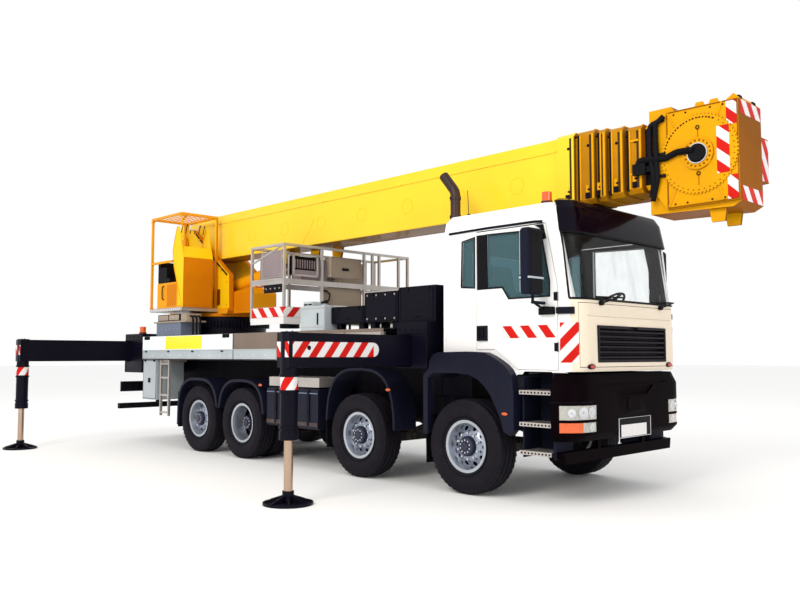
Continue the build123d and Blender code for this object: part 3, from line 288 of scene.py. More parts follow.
def finish_mesh(mesh, name, body, finishes, bevel, replaced=(), smooth_deg=SMOOTH_DEG):
    """Turn a mesh into a piece: a finish per face, sharp and soft edges, its body and replaced nodes."""
    used = list(dict.fromkeys(finishes))
    mesh.materials.clear()
    for finish in used:
        mesh.materials.append(MATS[finish])
    mesh.polygons.foreach_set("material_index", [used.index(finish) for finish in finishes])
    mesh.polygons.foreach_set("use_smooth", [True] * len(mesh.polygons))
    mesh.set_sharp_from_angle(angle=math.radians(smooth_deg))
    piece = bpy.data.objects.new(name, mesh)
    bpy.context.scene.collection.objects.link(piece)
    if bevel:
        rounding = piece.modifiers.new("edges", "BEVEL")
        rounding.width = bevel
        rounding.segments = 2
        rounding.limit_method = "ANGLE"
        rounding.angle_limit = math.radians(smooth_deg)
        rounding.harden_normals = True
    else:
        weighted = piece.modifiers.new("normals", "WEIGHTED_NORMAL")
        weighted.keep_sharp = True
    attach(piece, body)
    if replaced:
        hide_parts(*replaced)


def dress(node, finish, bevel=0.004, cuts=(), ease=None):
    """Copy a CAD node's form into a piece with one finish, or one picked per face, parted at the given planes."""
    form = bmesh.new()
    form.from_mesh(frame["nodes"][node].data)
    bmesh.ops.remove_doubles(form, verts=form.verts, dist=0.00005)
    bmesh.ops.dissolve_limit(form, angle_limit=math.radians(0.5), verts=form.verts, edges=form.edges)
    for place, way in cuts:
        bmesh.ops.bisect_plane(form, geom=[*form.verts, *form.edges, *form.faces], plane_co=place, plane_no=way)
    if ease:
        ease(form)
    pick = finish if callable(finish) else lambda centre, normal: finish
    finishes = [pick(face.calc_center_median(), face.normal) for face in form.faces]
    mesh = bpy.data.meshes.new(node + "_look")
    form.to_mesh(mesh)
    form.free()
    finish_mesh(mesh, node + "_look", BODY_OF[node], finishes, bevel, [node])


def turns(count, start=0.0):
    """Angles of even steps round a full turn."""
    return [start + 2 * math.pi * k / count for k in range(count)]


def oval(a, b, steps=20):
    return [(a * math.cos(t), b * math.sin(t)) for t in turns(steps)]


def rectangle(a0, a1, b0, b1):
    return [(a0, b0), (a1, b0), (a1, b1), (a0, b1)]


def circle(centre, radius, angles, v):
    """Places on a circle in the plane of X and v."""
    return [Vector(centre) + (FORWARD * math.cos(a) + v * math.sin(a)) * radius for a in angles]


class Shape:
    """Faces gathered for one piece, each part with the name of its finish."""

    def __init__(self):
        self.points = []
        self.faces = []
        self.finishes = []

    def add(self, points, faces, finish):
        start = len(self.points)
        self.points += [Vector(point) for point in points]
        self.faces += [[start + i for i in face] for face in faces]
        self.finishes += [finish] * len(faces)

    def prism(self, outline, origin, u, v, depth, finish):
        """Outline in the plane of u and v, pushed by depth along their normal."""
        u, v = Vector(u), Vector(v)
        normal = u.cross(v).normalized() * depth
        near = [Vector(origin) + u * a + v * b for a, b in outline]
        count = len(near)
        sides = [[i, (i + 1) % count, count + (i + 1) % count, count + i] for i in range(count)]
        caps = [list(range(count))[::-1], list(range(count, 2 * count))]
        self.add(near + [point + normal for point in near], sides + caps, finish)

    def box(self, a, b, finish):
        """Box between any two opposite corners."""
        xs, ys, (low, top) = (sorted(pair) for pair in zip(a, b))
        self.prism(rectangle(*xs, *ys), (0, 0, low), FORWARD, LEFTWARD, top - low, finish)

    def plate(self, outline, y0, y1, finish):
        """Plate of an X-Z outline between two places across the machine."""
        self.prism(outline, (0, max(y0, y1), 0), FORWARD, UP, abs(y1 - y0), finish)

    def panel(self, side, x_rear, x_front, low, top, depth, finish, y=HALF_WIDTH):
        """Flat panel on a side face of the machine."""
        self.box((x_rear, side * (y - 0.002), low), (x_front, side * (y + depth), top), finish)

    def ring(self, loops, finish):
        """Closed skin over a row of loops with equal numbers of points."""
        count = len(loops[0])
        last = (len(loops) - 1) * count
        faces = []
        for a in range(0, last, count):
            b = a + count
            faces += [[a + i, a + (i + 1) % count, b + (i + 1) % count, b + i] for i in range(count)]
        faces += [list(range(count))[::-1], [last + i for i in range(count)]]
        self.add([point for loop in loops for point in loop], faces, finish)

    def pipe(self, route, radius, finish, sides=10):
        """Round bar or hose along a route of points, mitred at each."""
        route = [Vector(point) for point in route]
        loops = []
        turn = None
        for i, here in enumerate(route):
            before = (here - route[i - 1]).normalized() if i else (route[1] - here).normalized()
            after = (route[i + 1] - here).normalized() if i < len(route) - 1 else before
            along = (before + after).normalized()
            if turn is None:
                turn = along.orthogonal().normalized()
            turn = (turn - along * turn.dot(along)).normalized()
            other = along.cross(turn)
            loops.append([here + (turn * math.cos(a) + other * math.sin(a)) * radius for a in turns(sides)])
        self.ring(loops, finish)

    def rim(self, outline, y, radius, finish):
        """Thin bar along a closed X-Z outline on a side face."""
        route = [(x, y, z) for x, z in outline]
        self.pipe([*route, route[0]], radius, finish, 6)

    def lathe(self, outline, centre, axis, finish, steps):
        """Turn an outline of distance along the axis and radius about it."""
        axis = Vector(axis).normalized()
        u = axis.orthogonal().normalized()
        w = axis.cross(u)
        count = len(outline)
        points = []
        faces = []
        for k, a in enumerate(turns(steps)):
            out = u * math.cos(a) + w * math.sin(a)
            points += [Vector(centre) + axis * along + out * radius for along, radius in outline]
            near, far = k * count, (k + 1) % steps * count
            faces += [[near + i, far + i, far + (i + 1) % count, near + (i + 1) % count] for i in range(count)]
        self.add(points, faces, finish)

    def cap(self, centre, axis, height, radius, rim, finish, steps):
        """Turned cap with one radius at its foot and another at its top."""
        self.lathe([(0.0, 0.0), (0.0, radius), (height, rim), (height, 0.0)], centre, axis, finish, steps)

    def hoop(self, centre, axis, start, end, inner, outer, finish, steps):
        """Turned ring of rectangular section between two distances along the axis."""
        section = [(start, inner), (start, outer), (end, outer), (end, inner)]
        self.lathe(section, centre, axis, finish, steps)

    def bolt(self, at, axis, size, finish):
        """Hexagon head with a washer."""
        axis = Vector(axis).normalized()
        at = Vector(at)
        self.pipe([at, at + axis * size * 0.25], size * 1.15, finish, 12)
        self.pipe([at, at + axis * size * 0.9], size * 0.8, finish, 6)

    def bolts(self, places, axis, size, finish):
        for at in places:
            self.bolt(at, axis, size, finish)

    def stripes(self, origin, u, v, width, height, pitch, slant, depth=0.002, lead=0.0, finishes=("red", "white")):
        """Panel of slanted bands in two finishes, on the plane of u and v, standing proud by depth."""
        first = math.floor((-lead - abs(slant)) / pitch) - 1
        last = math.ceil((width - lead + abs(slant)) / pitch) + 1
        for i in range(first, last + 1):
            start = i * pitch + lead
            band = [(start, 0.0), (start + pitch, 0.0), (start + pitch + slant, height), (start + slant, height)]
            band = clip(clip(band, 0.0, 1), width, -1)
            if len(band) > 2:
                self.prism(band, origin, u, v, depth, finishes[i % 2])

    def side_stripes(self, side, x_rear, x_front, z, height, y, pitch, slant, finishes=("red", "white")):
        """Slanted bands on a side of the machine, at the distance y from its middle, alike on both hands."""
        start = (x_rear if side < 0 else x_front, side * y, z)
        wide = x_front - x_rear
        self.stripes(start, outward(side), UP, wide, height, pitch, -side * slant, finishes=finishes)

    def build(self, name, body, slot, bevel=0.0, replaced=(), smooth_deg=SMOOTH_DEG):
        mesh = bpy.data.meshes.new(name)
        mesh.from_pydata(self.points, [], self.faces)
        form = bmesh.new()
        form.from_mesh(mesh)
        bmesh.ops.recalc_face_normals(form, faces=form.faces)
        form.to_mesh(mesh)
        form.free()
        finish_mesh(mesh, name, body, self.finishes, bevel, replaced, smooth_deg)


def clip(outline, edge, way):
    """Keep the part of an outline whose first coordinate lies past the edge, the given way."""
    kept = []
    for i, here in enumerate(outline):
        there = outline[(i + 1) % len(outline)]
        inside, next_inside = (here[0] - edge) * way >= 0, (there[0] - edge) * way >= 0
        if inside:
            kept.append(here)
        if inside != next_inside:
            share = (edge - here[0]) / (there[0] - here[0])
            kept.append((edge, here[1] + (there[1] - here[1]) * share))
    return kept


def outward(side):
    """Direction along a side face, chosen so that a panel on it faces outward."""
    return FORWARD * -side


# CAD nodes that keep their form

# Level sections of the cab and the bumper: z, half width, front x, radius of the front corners
CAB_LEVELS = (
    (1.388, 1.120, 4.360, 0.235), (1.440, 1.120, 4.390, 0.265), (2.120, 1.120, 4.378, 0.265),
    (2.900, 1.115, 4.296, 0.265), (3.120, 1.095, 4.250, 0.265), (3.200, 1.030, 4.170, 0.265),
)
BUMPER_LEVELS = (
    (0.672, 1.200, 4.335, 0.330), (0.740, 1.245, 4.390, 0.350), (1.240, 1.245, 4.390, 0.350),
    (1.366, 1.165, 4.352, 0.320),
)
# The black front of the cab begins at this place at its top, and further forward below it
BLACK_X, BLACK_Z, BLACK_LEAN = 4.114, 3.15, 0.1776
BELT_Z = 2.14
CAB_MIDDLE = Vector((3.45, 0.0, 2.25))
CAB_WALL = 0.03
PIVOT = Vector((-4.650, BOOM_Y, 3.650))
PIVOT_R = 0.0605
BOOM_Z = 3.67


def level_at(levels, z):
    """Half width, front x and corner radius of a form at a height."""
    for low, high in zip(levels, levels[1:]):
        if z <= high[0]:
            break
    share = min(max((z - low[0]) / (high[0] - low[0]), 0.0), 1.0)
    return [a + (b - a) * share for a, b in zip(low[1:], high[1:])]


def front_x(levels, y, z, out=0.0):
    """Front face of a form with rounded corners, at a place across it, moved out by a distance."""
    half, face, radius = level_at(levels, z)
    radius += out
    over = max(abs(y) - (half + out - radius), 0.0)
    return face + out - radius + math.sqrt(max(radius * radius - over * over, 0.0))


def faces_end_or_floor(normal):
    return normal.x > 0.8 or normal.z < -0.8


def cab_finish(centre, normal):
    """White cab with a black front around the windscreen, and a dark underside and inside."""
    within = abs(centre.y) < CAB_HALF - CAB_WALL and 2.58 < centre.x < 4.36 and 1.42 < centre.z < 3.19
    if centre.z < 1.3885 or (within and (CAB_MIDDLE - centre).dot(normal) > 0):
        return "interior"
    if normal.x > 0.6 and centre.z < BELT_Z:
        return "cab_cream"
    black = centre.x > BLACK_X + (BLACK_Z - centre.z) * BLACK_LEAN and centre.z > BELT_Z - 0.01
    return "hood_black" if black else "cab_white"


def lamp_finish(centre, normal):
    """Clear head lamps, orange outer halves below them, red tail lamps and orange beacons on a dark foot."""
    if centre.x > 4.1:
        return "lens_orange" if centre.z < 0.88 and abs(centre.y) > 1.0 else "lens_clear"
    if centre.x < -5.5:
        return "lens_red" if abs(centre.y) > 0.95 else "lens_orange"
    beacon_low = 3.241 if centre.x > 0 else 1.956
    return "lamp_foot" if centre.z < beacon_low + 0.03 and normal.z < 0.5 else "lens_orange"


def deck_finish(centre, normal):
    """Chequer plate on top, brown sides above a light rail, and a dark underside."""
    if normal.z > 0.9 and centre.z > 1.85:
        return "deck_top"
    if abs(centre.y) > 1.2:
        return "deck_side" if centre.z > 1.7 else "deck_rail"
    return "chassis"


def cabinet_finish(centre, normal):
    """Dark cabinets in front, then the light tank, and the valve box in its blue-grey, beige and dark parts."""
    if centre.x > 0.445:
        return "steel_black"
    if centre.x > -3.0:
        return "tank_grey"
    if centre.z < 2.128:
        return "blue_grey"
    return "beige_box" if centre.z < 2.156 or centre.x > -3.51 else "steel_black"


def rear_finish(centre, normal):
    """Dark bar and board at the very rear, light locker and bright ladder."""
    if centre.x < -5.5:
        return "chassis"
    return "tank_grey" if centre.x < -4.19 else "alloy"


def turret_finish(centre, normal):
    """Cheeks with painted light, painted shade on front and lower faces, and a nose box with painted shade on its
    near side.
    """
    if centre.x > -3.17 and centre.z > 2.3 and abs(centre.y - BOOM_Y) < 0.246:
        # The nose box's near side takes the darker orange: painted shade.
        return "turret_front" if normal.y < -0.5 else "turret"
    if centre.z > 2.4 and centre.x > -4.94 and abs(normal.y) > 0.5:
        # The cheeks' side faces take the brighter orange: painted light.
        return "cheek"
    # Forward and downward faces take the darker orange: painted shade.
    return "turret_front" if normal.x > 0.3 or normal.z < -0.5 else "turret"


def station_finish(centre, normal):
    """Black seat, whitish floor edge, and the console's orange with painted light on its near and forward-up faces
    and painted shade on its front.
    """
    if centre.x < -3.95 and 2.8405 < centre.z < 3.24 and -1.141 < centre.y < -0.69:
        return "rubber"
    if centre.z < 2.3905:
        return "alloy"
    if centre.x < -3.8 or centre.z > 3.81:
        return "turret"
    # Forward faces take the darker orange: painted shade.
    if normal.x > 0.6 and normal.z <= 0.2 and centre.z < 3.3:
        return "turret_front"
    # Near and forward-up faces take the brighter orange: painted light.
    return "cheek" if normal.y < -0.5 or (normal.z > 0.2 and normal.x > 0.2) else "turret"


def inside_boom(centre, normal):
    """Whether a face lines the hollow of a boom section."""
    across, up = centre.y - BOOM_Y, centre.z - BOOM_Z
    hollow = abs(across) < 0.245 and 3.295 < centre.z < 4.075 and -4.96 < centre.x < 4.75
    return hollow and abs(normal.x) < 0.5 and (across * normal.y < 0 or up * normal.z < 0)


def section_finish(tone):
    """Picker for a hollow boom section with sides of one tone, and dark painted shade on its ends and floor and on
    its inside.
    """
    def pick(centre, normal):
        # Faces lining the hollow take painted shade.
        if inside_boom(centre, normal):
            return "boom_recess_shade"
        # Forward ends and undersides take a dark copy of the paint: painted shade.
        return "boom_painted_shade" if faces_end_or_floor(normal) else tone
    return pick


def head_finish(centre, normal):
    """Orange head with its black hub, conduit, hoses and their box, and painted shade on its inside, its ends and
    its floor.
    """
    hoses = centre.y < -0.33 and centre.x < 5.02 and not 4.84 < centre.x < 5.0
    box = centre.y < -0.337 and 4.6 < centre.x < 5.02
    if centre.y < -0.3675 or hoses or box:
        return "rubber"
    # Faces lining the head's hollow take painted shade.
    if inside_boom(centre, normal):
        return "boom_recess_shade"
    # Forward ends and undersides take the darker orange: painted shade.
    return "head_dark" if faces_end_or_floor(normal) else "head"


def door_finish(centre, normal):
    """White skin, dark lining, grey mirror housing with a black front, and black arms and handle."""
    out = abs(centre.y)
    if out > 1.21 and centre.z > 2.17:
        return "trim_black" if normal.x > 0.3 else "moulding"
    if out > CAB_HALF + 0.0015 or (centre.z > 2.09 and out > 1.119 and 3.96 < centre.x < 4.03):
        return "trim_black"
    return "interior" if out < CAB_HALF - CAB_WALL and normal.y * centre.y < 0 else "cab_white"


def pivot_eased(form):
    """Draw the turret's pin in a little, so that its flats turn freely in the boom's bore."""
    for vert in form.verts:
        off = Vector((vert.co.x - PIVOT.x, 0.0, vert.co.z - PIVOT.z))
        if off.length < PIVOT_R and abs(vert.co.y - BOOM_Y) < 0.3:
            vert.co -= off * 0.02


def dress_chassis():
    """Running gear, cab, deck and boxes."""
    dress("chassis_frame", "chassis")
    dress("axles", "iron")
    dress("engine_block", "engine", 0.02)
    dress("mudguards", "fender", 0.008)
    black_edge = (Vector((BLACK_X, 0, BLACK_Z)), Vector((1.0, 0, BLACK_LEAN)))
    dress("cab_shell", cab_finish, 0.006, cuts=(black_edge, (UP * BELT_Z, UP)))
    dress("front_panel", lambda c, n: "interior" if n.x < -0.5 else "cab_cream", 0.008)
    dress("grille", "grille")
    dress("roof_cap", "hood_black", 0.012)
    dress("cab_glass", lambda c, n: "pane_front" if c.x > 3.9 else "pane_side", 0)
    dress("cab_interior", lambda c, n: "seat_cloth" if c.x < 3.49 else "interior", 0.03)
    dress("front_bumper", lambda c, n: "fender" if c.x < 3.8 else "bumper", 0.012)
    dress("cab_steps", "moulding", 0.006)
    dress("lamps", lamp_finish, 0.003, cuts=[(LEFTWARD * side, LEFTWARD) for side in SIDES])
    dress("deck", deck_finish, 0.003)
    dress("outrigger_housings", "steel_black")
    dress("side_boxes", lambda c, n: "alloy" if c.z > 1.11 else "fender", 0.01)
    dress("deck_cabinets", cabinet_finish, 0.006)
    dress("exhaust_stack", "exhaust", 0.002)
    dress("rear_fittings", rear_finish)


def dress_boom():
    """Turret, lift cylinder, boom, jib and basket."""
    dress("slew_ring", "steel_black", 0.002)
    dress("turret", turret_finish, 0.008, ease=pivot_eased)
    dress("operator_station", station_finish, 0.005)
    dress("lift_barrel", "turret", 0.008)
    dress("lift_rod", "chrome", 0.003)
    # Inner sections take the darker orange: painted shade of the gaps between their lips.
    for number in range(1, 6):
        dress(f"boom_{number}", section_finish("boom" if number == 1 else "collar"), 0.006)
    dress("boom_6", head_finish, 0)
    dress("lift_ears", "boom")
    # The jib's forward ends and undersides take the head's darker orange: painted shade.
    dress("jib", lambda c, n: "head_dark" if faces_end_or_floor(n) else "boom", 0.012)
    dress("basket", lambda c, n: "steel_black" if c.z < 2.0695 else "alloy")
    dress("basket_controls", lambda c, n: "beige_box" if c.y > 0.2 or c.x > -0.7 else "alloy_panel", 0.006)


def dress_hand(hand):
    """Door, outriggers and steering knuckles of one hand."""
    dress(f"door_{hand}", door_finish, 0.006)
    dress(f"door_glass_{hand}", "pane_side" if hand == "right" else "pane_front", 0)
    for place in ("front", "rear"):
        dress(f"beam_{place}_{hand}", "steel_black", 0.005)
        dress(f"jack_{place}_{hand}", lambda c, n: "chrome" if c.z > 0.15 else "steel_black", 0.003)
    for number in STEERED:
        dress(f"knuckle_{number}_{hand}", "iron")


dress_chassis()
dress_boom()
for hand, side in HANDS:
    dress_hand(hand)


# Wheels

# Distances across the machine of a single and a twin wheel, and what else tells them apart
SINGLE = dict(
    tyres=[(0.92, 1.235)], rims=[(0.957, 1.196)], disc=1.12, bulge=0.060, backing=1.045,
    hub_face=1.15, hub_nose=1.205, hub_r=0.122, stud_r=0.0704,
)
TWIN = dict(
    tyres=[(0.94, 1.235), (0.615, 0.905)], rims=[(0.985, 1.196), (0.654, 0.87)], disc=0.955, bulge=0.0,
    backing=0.885, hub_face=0.91, hub_nose=1.12, hub_r=0.112, stud_r=0.08,
)
# Half section of a tyre from its inner bead to its middle: share of the half width, radius
TYRE_WALL = (
    (0.66, 0.285), (0.78, 0.30), (0.93, 0.345), (1.0, 0.405), (0.985, 0.45), (0.93, 0.495), (0.86, 0.512),
    (0.82, 0.526), (0.5, 0.533), (0.47, 0.52), (0.41, 0.52), (0.38, 0.534), (0.06, 0.535), (0.04, 0.521),
)
TREAD_BLOCKS = 46
HOLES = 10


class Wheel(Shape):
    """Shape of one wheel, turned about its own axle."""

    def __init__(self, x, side):
        super().__init__()
        self.x, self.side = x, side

    def at(self, out, radius, angle):
        """Place at a distance across the machine, and at a radius and an angle about the axle."""
        up, forward = radius * math.sin(angle), radius * math.cos(angle)
        return Vector((self.x + forward, self.side * out, TYRE_R + up))

    def turn(self, outline, finish, steps):
        self.lathe(outline, (self.x, 0, TYRE_R), (0, self.side, 0), finish, steps)

    def stud(self, start, end, ring_r, angle, radius):
        self.pipe([self.at(start, ring_r, angle), self.at(end, ring_r, angle)], radius, "bright", 6)


def tyre(wheel, low, high):
    """Tyre of rounded section from low to high across, with grooves and shoulder blocks."""
    middle, half = (low + high) / 2, (high - low) / 2
    wall = [(-share, r) for share, r in TYRE_WALL] + [*TYRE_WALL[::-1]]
    wheel.turn([(middle + half * share, r) for share, r in wall], "tyre", 72)
    edge = middle + half * 0.955 + 0.002
    for r in (0.33, 0.475):
        wheel.turn([(edge - 0.02, r - 0.006), (edge, r), (edge - 0.02, r + 0.006)], "tyre", 48)
    for a in turns(TREAD_BLOCKS):
        out = Vector((math.cos(a), 0.0, math.sin(a)))
        along = Vector((-math.sin(a), 0.0, math.cos(a)))
        for way in SIDES:
            loops = []
            for share, top in ((0.58, 0.0335), (0.88, 0.0255)):
                foot = wheel.at(middle + way * half * share, 0.5, a)
                loops.append([foot + along * u + out * v for u, v in rectangle(-0.014, 0.014, 0.0, top)])
            wheel.ring(loops, "tyre")


def wheel_rim(wheel, low, high):
    """Rolled steel rim between the tyre's beads."""
    outline = [
        (low, 0.262), (low - 0.004, 0.296), (low + 0.01, 0.3), (low + 0.016, 0.275),
        (high - 0.016, 0.275), (high - 0.01, 0.3), (high + 0.006, 0.296), (high + 0.002, 0.262),
        (high - 0.03, 0.257), (high - 0.05, 0.25), (low + 0.03, 0.25),
    ]
    wheel.turn(outline, "rim", 64)


def disc(wheel, base, bulge, backing):
    """Pressed disc with oval holes, bulging towards its middle, before a dark backing of painted shade seen
    through the holes.
    """
    def height(r):
        share = min(max((0.25 - r) / 0.13, 0.0), 1.0)
        return base - 0.03 + bulge * share * share * (3 - 2 * share)

    # Thin black disc behind the holes: painted shade.
    wheel.turn([(backing, 0.10), (backing, 0.249), (backing - 0.004, 0.249), (backing - 0.004, 0.10)], "tyre", 40)
    thick = 0.012
    for middle in turns(HOLES):
        hole_window(wheel, middle, height, thick)
    inner = height(0.1)
    plate = [
        (height(0.165) - thick, 0.166), (height(0.165), 0.166), (height(0.12), 0.13), (inner, 0.07),
        (inner - thick, 0.07),
    ]
    wheel.turn(plate, "disc", 40)


def hole_window(wheel, middle, height, thick, steps=12):
    """One hole of a disc with the sheet around it, up to the sheet of its neighbours."""
    inner_r, outer_r = 0.165, 0.252
    hole_r, half_r, half_a = 0.205, 0.027, 0.135
    sheet, hole = [], []
    for t in turns(steps):
        c, s = math.cos(t), math.sin(t)
        stretch = 1 / max(abs(c), abs(s))
        radius = (inner_r + outer_r) / 2 + (outer_r - inner_r) / 2 * s * stretch
        sheet.append((middle + math.pi / HOLES * c * stretch, radius))
        hole.append((middle + half_a * c, hole_r + half_r * s))
    front = [wheel.at(height(r), r, a) for a, r in sheet + hole]
    back = [wheel.at(height(r) - thick, r, a) for a, r in sheet + hole]
    pairs = [(k, (k + 1) % steps) for k in range(steps)]
    faces = [[a, b, steps + b, steps + a] for a, b in pairs]
    wheel.add(front, faces, "disc")
    wheel.add(back, [face[::-1] for face in faces], "disc")
    # The walls of the hole are black: painted shade.
    wheel.add(front + back, [[steps + a, steps + b, 3 * steps + b, 3 * steps + a] for a, b in pairs], "tyre")


def hub(wheel, face, nose, radius, stud_r):
    """Hub cap with its studs, and a ring of wheel nuts."""
    outline = [
        (face - 0.05, 0.0), (face - 0.05, radius), (nose - 0.02, radius * 0.93), (nose, radius * 0.8), (nose, 0.0),
    ]
    wheel.turn(outline, "hub_navy", 32)
    wheel.turn([(nose, 0.0), (nose, 0.045), (nose + 0.012, 0.04), (nose + 0.012, 0.0)], "hub_navy", 20)
    for a in turns(HOLES, math.pi / HOLES):
        wheel.stud(face - 0.035, face + 0.020, 0.148, a, 0.012)
        wheel.stud(nose - 0.004, nose + 0.008, stud_r, a, 0.009)


def wheel_look(number, hand, side):
    """Tyres with tread, and a steel wheel with ten oval holes, hub and nuts."""
    sizes = SINGLE if number in STEERED else TWIN
    wheel = Wheel(AXLE_X[number], side)
    for low, high in sizes["tyres"]:
        tyre(wheel, low, high)
    for low, high in sizes["rims"]:
        wheel_rim(wheel, low, high)
    disc(wheel, sizes["disc"], sizes["bulge"], sizes["backing"])
    hub(wheel, sizes["hub_face"], sizes["hub_nose"], sizes["hub_r"], sizes["stud_r"])
    name = f"wheel_{number}_{hand}"
    wheel.build(name + "_look", name, "tyre_rubber", replaced=[name], smooth_deg=40)


for number in AXLE_X:
    for hand, side in HANDS:
        wheel_look(number, hand, side)


# Trim of the cab

def path_stripes(shape, path, z, height, pitch, slant):
    """Slanted bands on an upright surface that follows a bent path."""
    run = 0.0
    for here, there in zip(path, path[1:]):
        step = Vector((there[0] - here[0], there[1] - here[1], 0.0))
        shape.stripes((*here, z), step.normalized(), UP, step.length, height, pitch, slant, lead=-run)
        run += step.length


def corner_path(levels, z, y_from, y_to, side, out, steps=8):
    """Points round a front corner, from one distance across the machine to another."""
    half, face, radius = level_at(levels, z)
    x, y = face - radius, half - radius
    start, end = (math.acos(min((across - y) / radius, 1.0)) for across in (y_from, y_to))
    angles = [start + (end - start) * k / steps for k in range(steps + 1)]
    reach = radius + out
    path = [(x + reach * math.sin(a), side * (y + reach * math.cos(a))) for a in angles]
    return path if side < 0 else path[::-1]


def windscreen_trim():
    """Rubber seal round the windscreen, and its two wipers."""
    shape = Shape()
    low, top, half = 2.152, 2.856, 1.072
    across = [half * k / 12 for k in range(-12, 13)]
    bottom = [(front_x(CAB_LEVELS, y, low, 0.004), y, low) for y in across]
    upper = [(front_x(CAB_LEVELS, y, top, 0.002), y, top) for y in across]
    shape.pipe([*bottom, *upper[::-1], bottom[0]], 0.012, "rubber", 8)
    for y in (-0.665, 0.618):
        wiper(shape, y)
    shape.build("windscreen_trim", "chassis", "dark_plastic")


def wiper(shape, y):
    """Spindle, arm and blade of a wiper."""
    z = 2.112
    x = front_x(CAB_LEVELS, y, 2.125, 0.012)
    elbow = (front_x(CAB_LEVELS, y + 0.30, 2.19, 0.045), y + 0.30, 2.185)
    shape.pipe([(x - 0.02, y, z), (x + 0.03, y, z)], 0.026, "rubber", 12)
    shape.pipe([(x + 0.02, y, z), elbow], 0.009, "rubber", 6)
    blade = [(front_x(CAB_LEVELS, y + d, 2.2, 0.018), y + d, 2.178 + 0.03 * d) for d in (-0.08, 0.1, 0.3, 0.48)]
    shape.pipe(blade, 0.010, "rubber", 6)


def corner_stripes():
    """Warning stripes on both front corners of the cab."""
    shape = Shape()
    for side in SIDES:
        path = corner_path(CAB_LEVELS, 1.7, 1.114, 1.008, side, 0.001)
        path_stripes(shape, path, 1.483, 0.417, 0.115, 0.40)
    shape.build("corner_stripes", "chassis", "cab_white")


def marker_lamps():
    """Marker lamps beside the grille."""
    shape = Shape()
    for y, z in ((-0.863, 1.441), (0.796, 1.45)):
        x = front_x(CAB_LEVELS, y, z)
        shape.prism(oval(0.062, 0.028), (x - 0.01, y, z), LEFTWARD, UP, 0.022, "rubber")
        shape.prism(oval(0.045, 0.019), (x + 0.008, y, z), LEFTWARD, UP, 0.010, "lens_red")
    shape.build("marker_lamps", "chassis", "lamp_lens", 0.001)


def gutters():
    """Rain gutters over the doors, fixed ends of the lower mirror arms, sill seams and quarter window seals."""
    shape = Shape()
    arm_z = 2.025
    quarter = [(2.832, 2.346), (3.033, 2.326), (3.033, 2.908), (2.847, 2.874)]
    for side in SIDES:
        y = side * 1.113
        gutter = [(2.64, y, 2.988), (3.2, y, 2.996), (3.86, y, 2.994), (3.97, y, 2.985)]
        shape.pipe(gutter, 0.014, "trim_black", 8)
        loops = []
        for x, y in corner_path(CAB_LEVELS, 2.02, 1.1165, 1.035, side, 0.0):
            outer = (x + 0.002, y + side * 0.042)
            loops.append([
                (x, y, arm_z - 0.038), (*outer, arm_z - 0.030), (*outer, arm_z + 0.030), (x, y, arm_z + 0.038),
            ])
        shape.ring(loops, "trim_black")
        shape.pipe([(2.6, side * 1.121, 1.40), (3.3, side * 1.121, 1.402)], 0.006, "trim_black", 6)
        shape.rim(quarter, side * 1.1205, 0.010, "trim_black")
    shape.build("gutters", "chassis", "dark_plastic")


def door_trim(hand, side):
    """Window seal, dark pillar, mirror bracket, arm and faces, warning stripes and handle of a door."""
    shape = Shape()
    y = side * (CAB_HALF + 0.0005)
    window = [
        (3.215, 2.310), (3.430, 2.310), (3.520, 2.180), (4.060, 2.180),
        (4.060, 2.340), (3.950, 2.900), (3.215, 2.920),
    ]
    bracket = [(3.88, 2.952), (3.985, 2.952), (4.026, 2.80), (3.985, 2.79), (3.955, 2.91)]
    cover = [(3.945, 1.985), (4.125, 1.985), (4.125, 2.065), (3.975, 2.075), (3.945, 2.050)]
    shape.rim(window, y, 0.010, "rubber")
    shape.plate(rectangle(3.068, 3.212, 2.30, 2.925), y - 0.002, y + 0.002, "rubber")
    shape.plate(bracket, y - 0.012, y + 0.012, "rubber")
    shape.plate(cover, side * (CAB_HALF - 0.005), side * (CAB_HALF + 0.045), "rubber")
    arm = [(4.0, side * 1.342, 2.115), (4.0, side * 1.20, 2.06), (4.0, side * 1.15, 2.04)]
    shape.pipe(arm, 0.013, "rubber", 8)
    shape.side_stripes(side, 3.422, 4.131, 1.745, 0.135, CAB_HALF + 0.0005, 0.118, -0.11, ("white", "red"))
    shape.box((3.921, side * 1.222, 2.352), (4.058, side * 1.466, 2.372), "tank_grey")
    for low, top in ((2.215, 2.335), (2.392, 2.855)):
        shape.box((3.920, side * 1.235, low), (3.926, side * 1.450, top), "mirror")
        shape.box((4.054, side * 1.240, low), (4.058, side * 1.448, top), "rubber")
    shape.pipe([(3.112, side * 1.128, 1.79), (3.112, side * 1.135, 1.83)], 0.012, "rubber", 8)
    shape.box((3.130, side * 1.122, 1.762), (3.166, side * 1.138, 1.852), "rubber")
    shape.build(f"door_trim_{hand}", f"door_{hand}", "dark_plastic")


def lamp_details():
    """Reflector rings behind the head lamps' fluted faces."""
    shape = Shape()
    for side in SIDES:
        for y, z, r in ((0.87, 0.968, 0.058), (1.0, 0.968, 0.062), (1.115, 0.968, 0.045), (0.87, 0.817, 0.042)):
            x = front_x(BUMPER_LEVELS, y, z, -0.003)
            half, _, radius = level_at(BUMPER_LEVELS, z)
            turn = math.asin(min(max((y - (half - radius)) / radius, 0.0), 1.0))
            axis = (math.cos(turn), side * math.sin(turn), 0.0)
            ring = [(0.0, r), (0.004, r), (0.004, r * 0.86), (0.001, r * 0.5), (0.0035, r * 0.2), (0.0, r * 0.18)]
            shape.lathe(ring, (x, side * y, z), axis, "bright", 28)
    shape.build("lamp_details", "chassis", "lamp_lens")


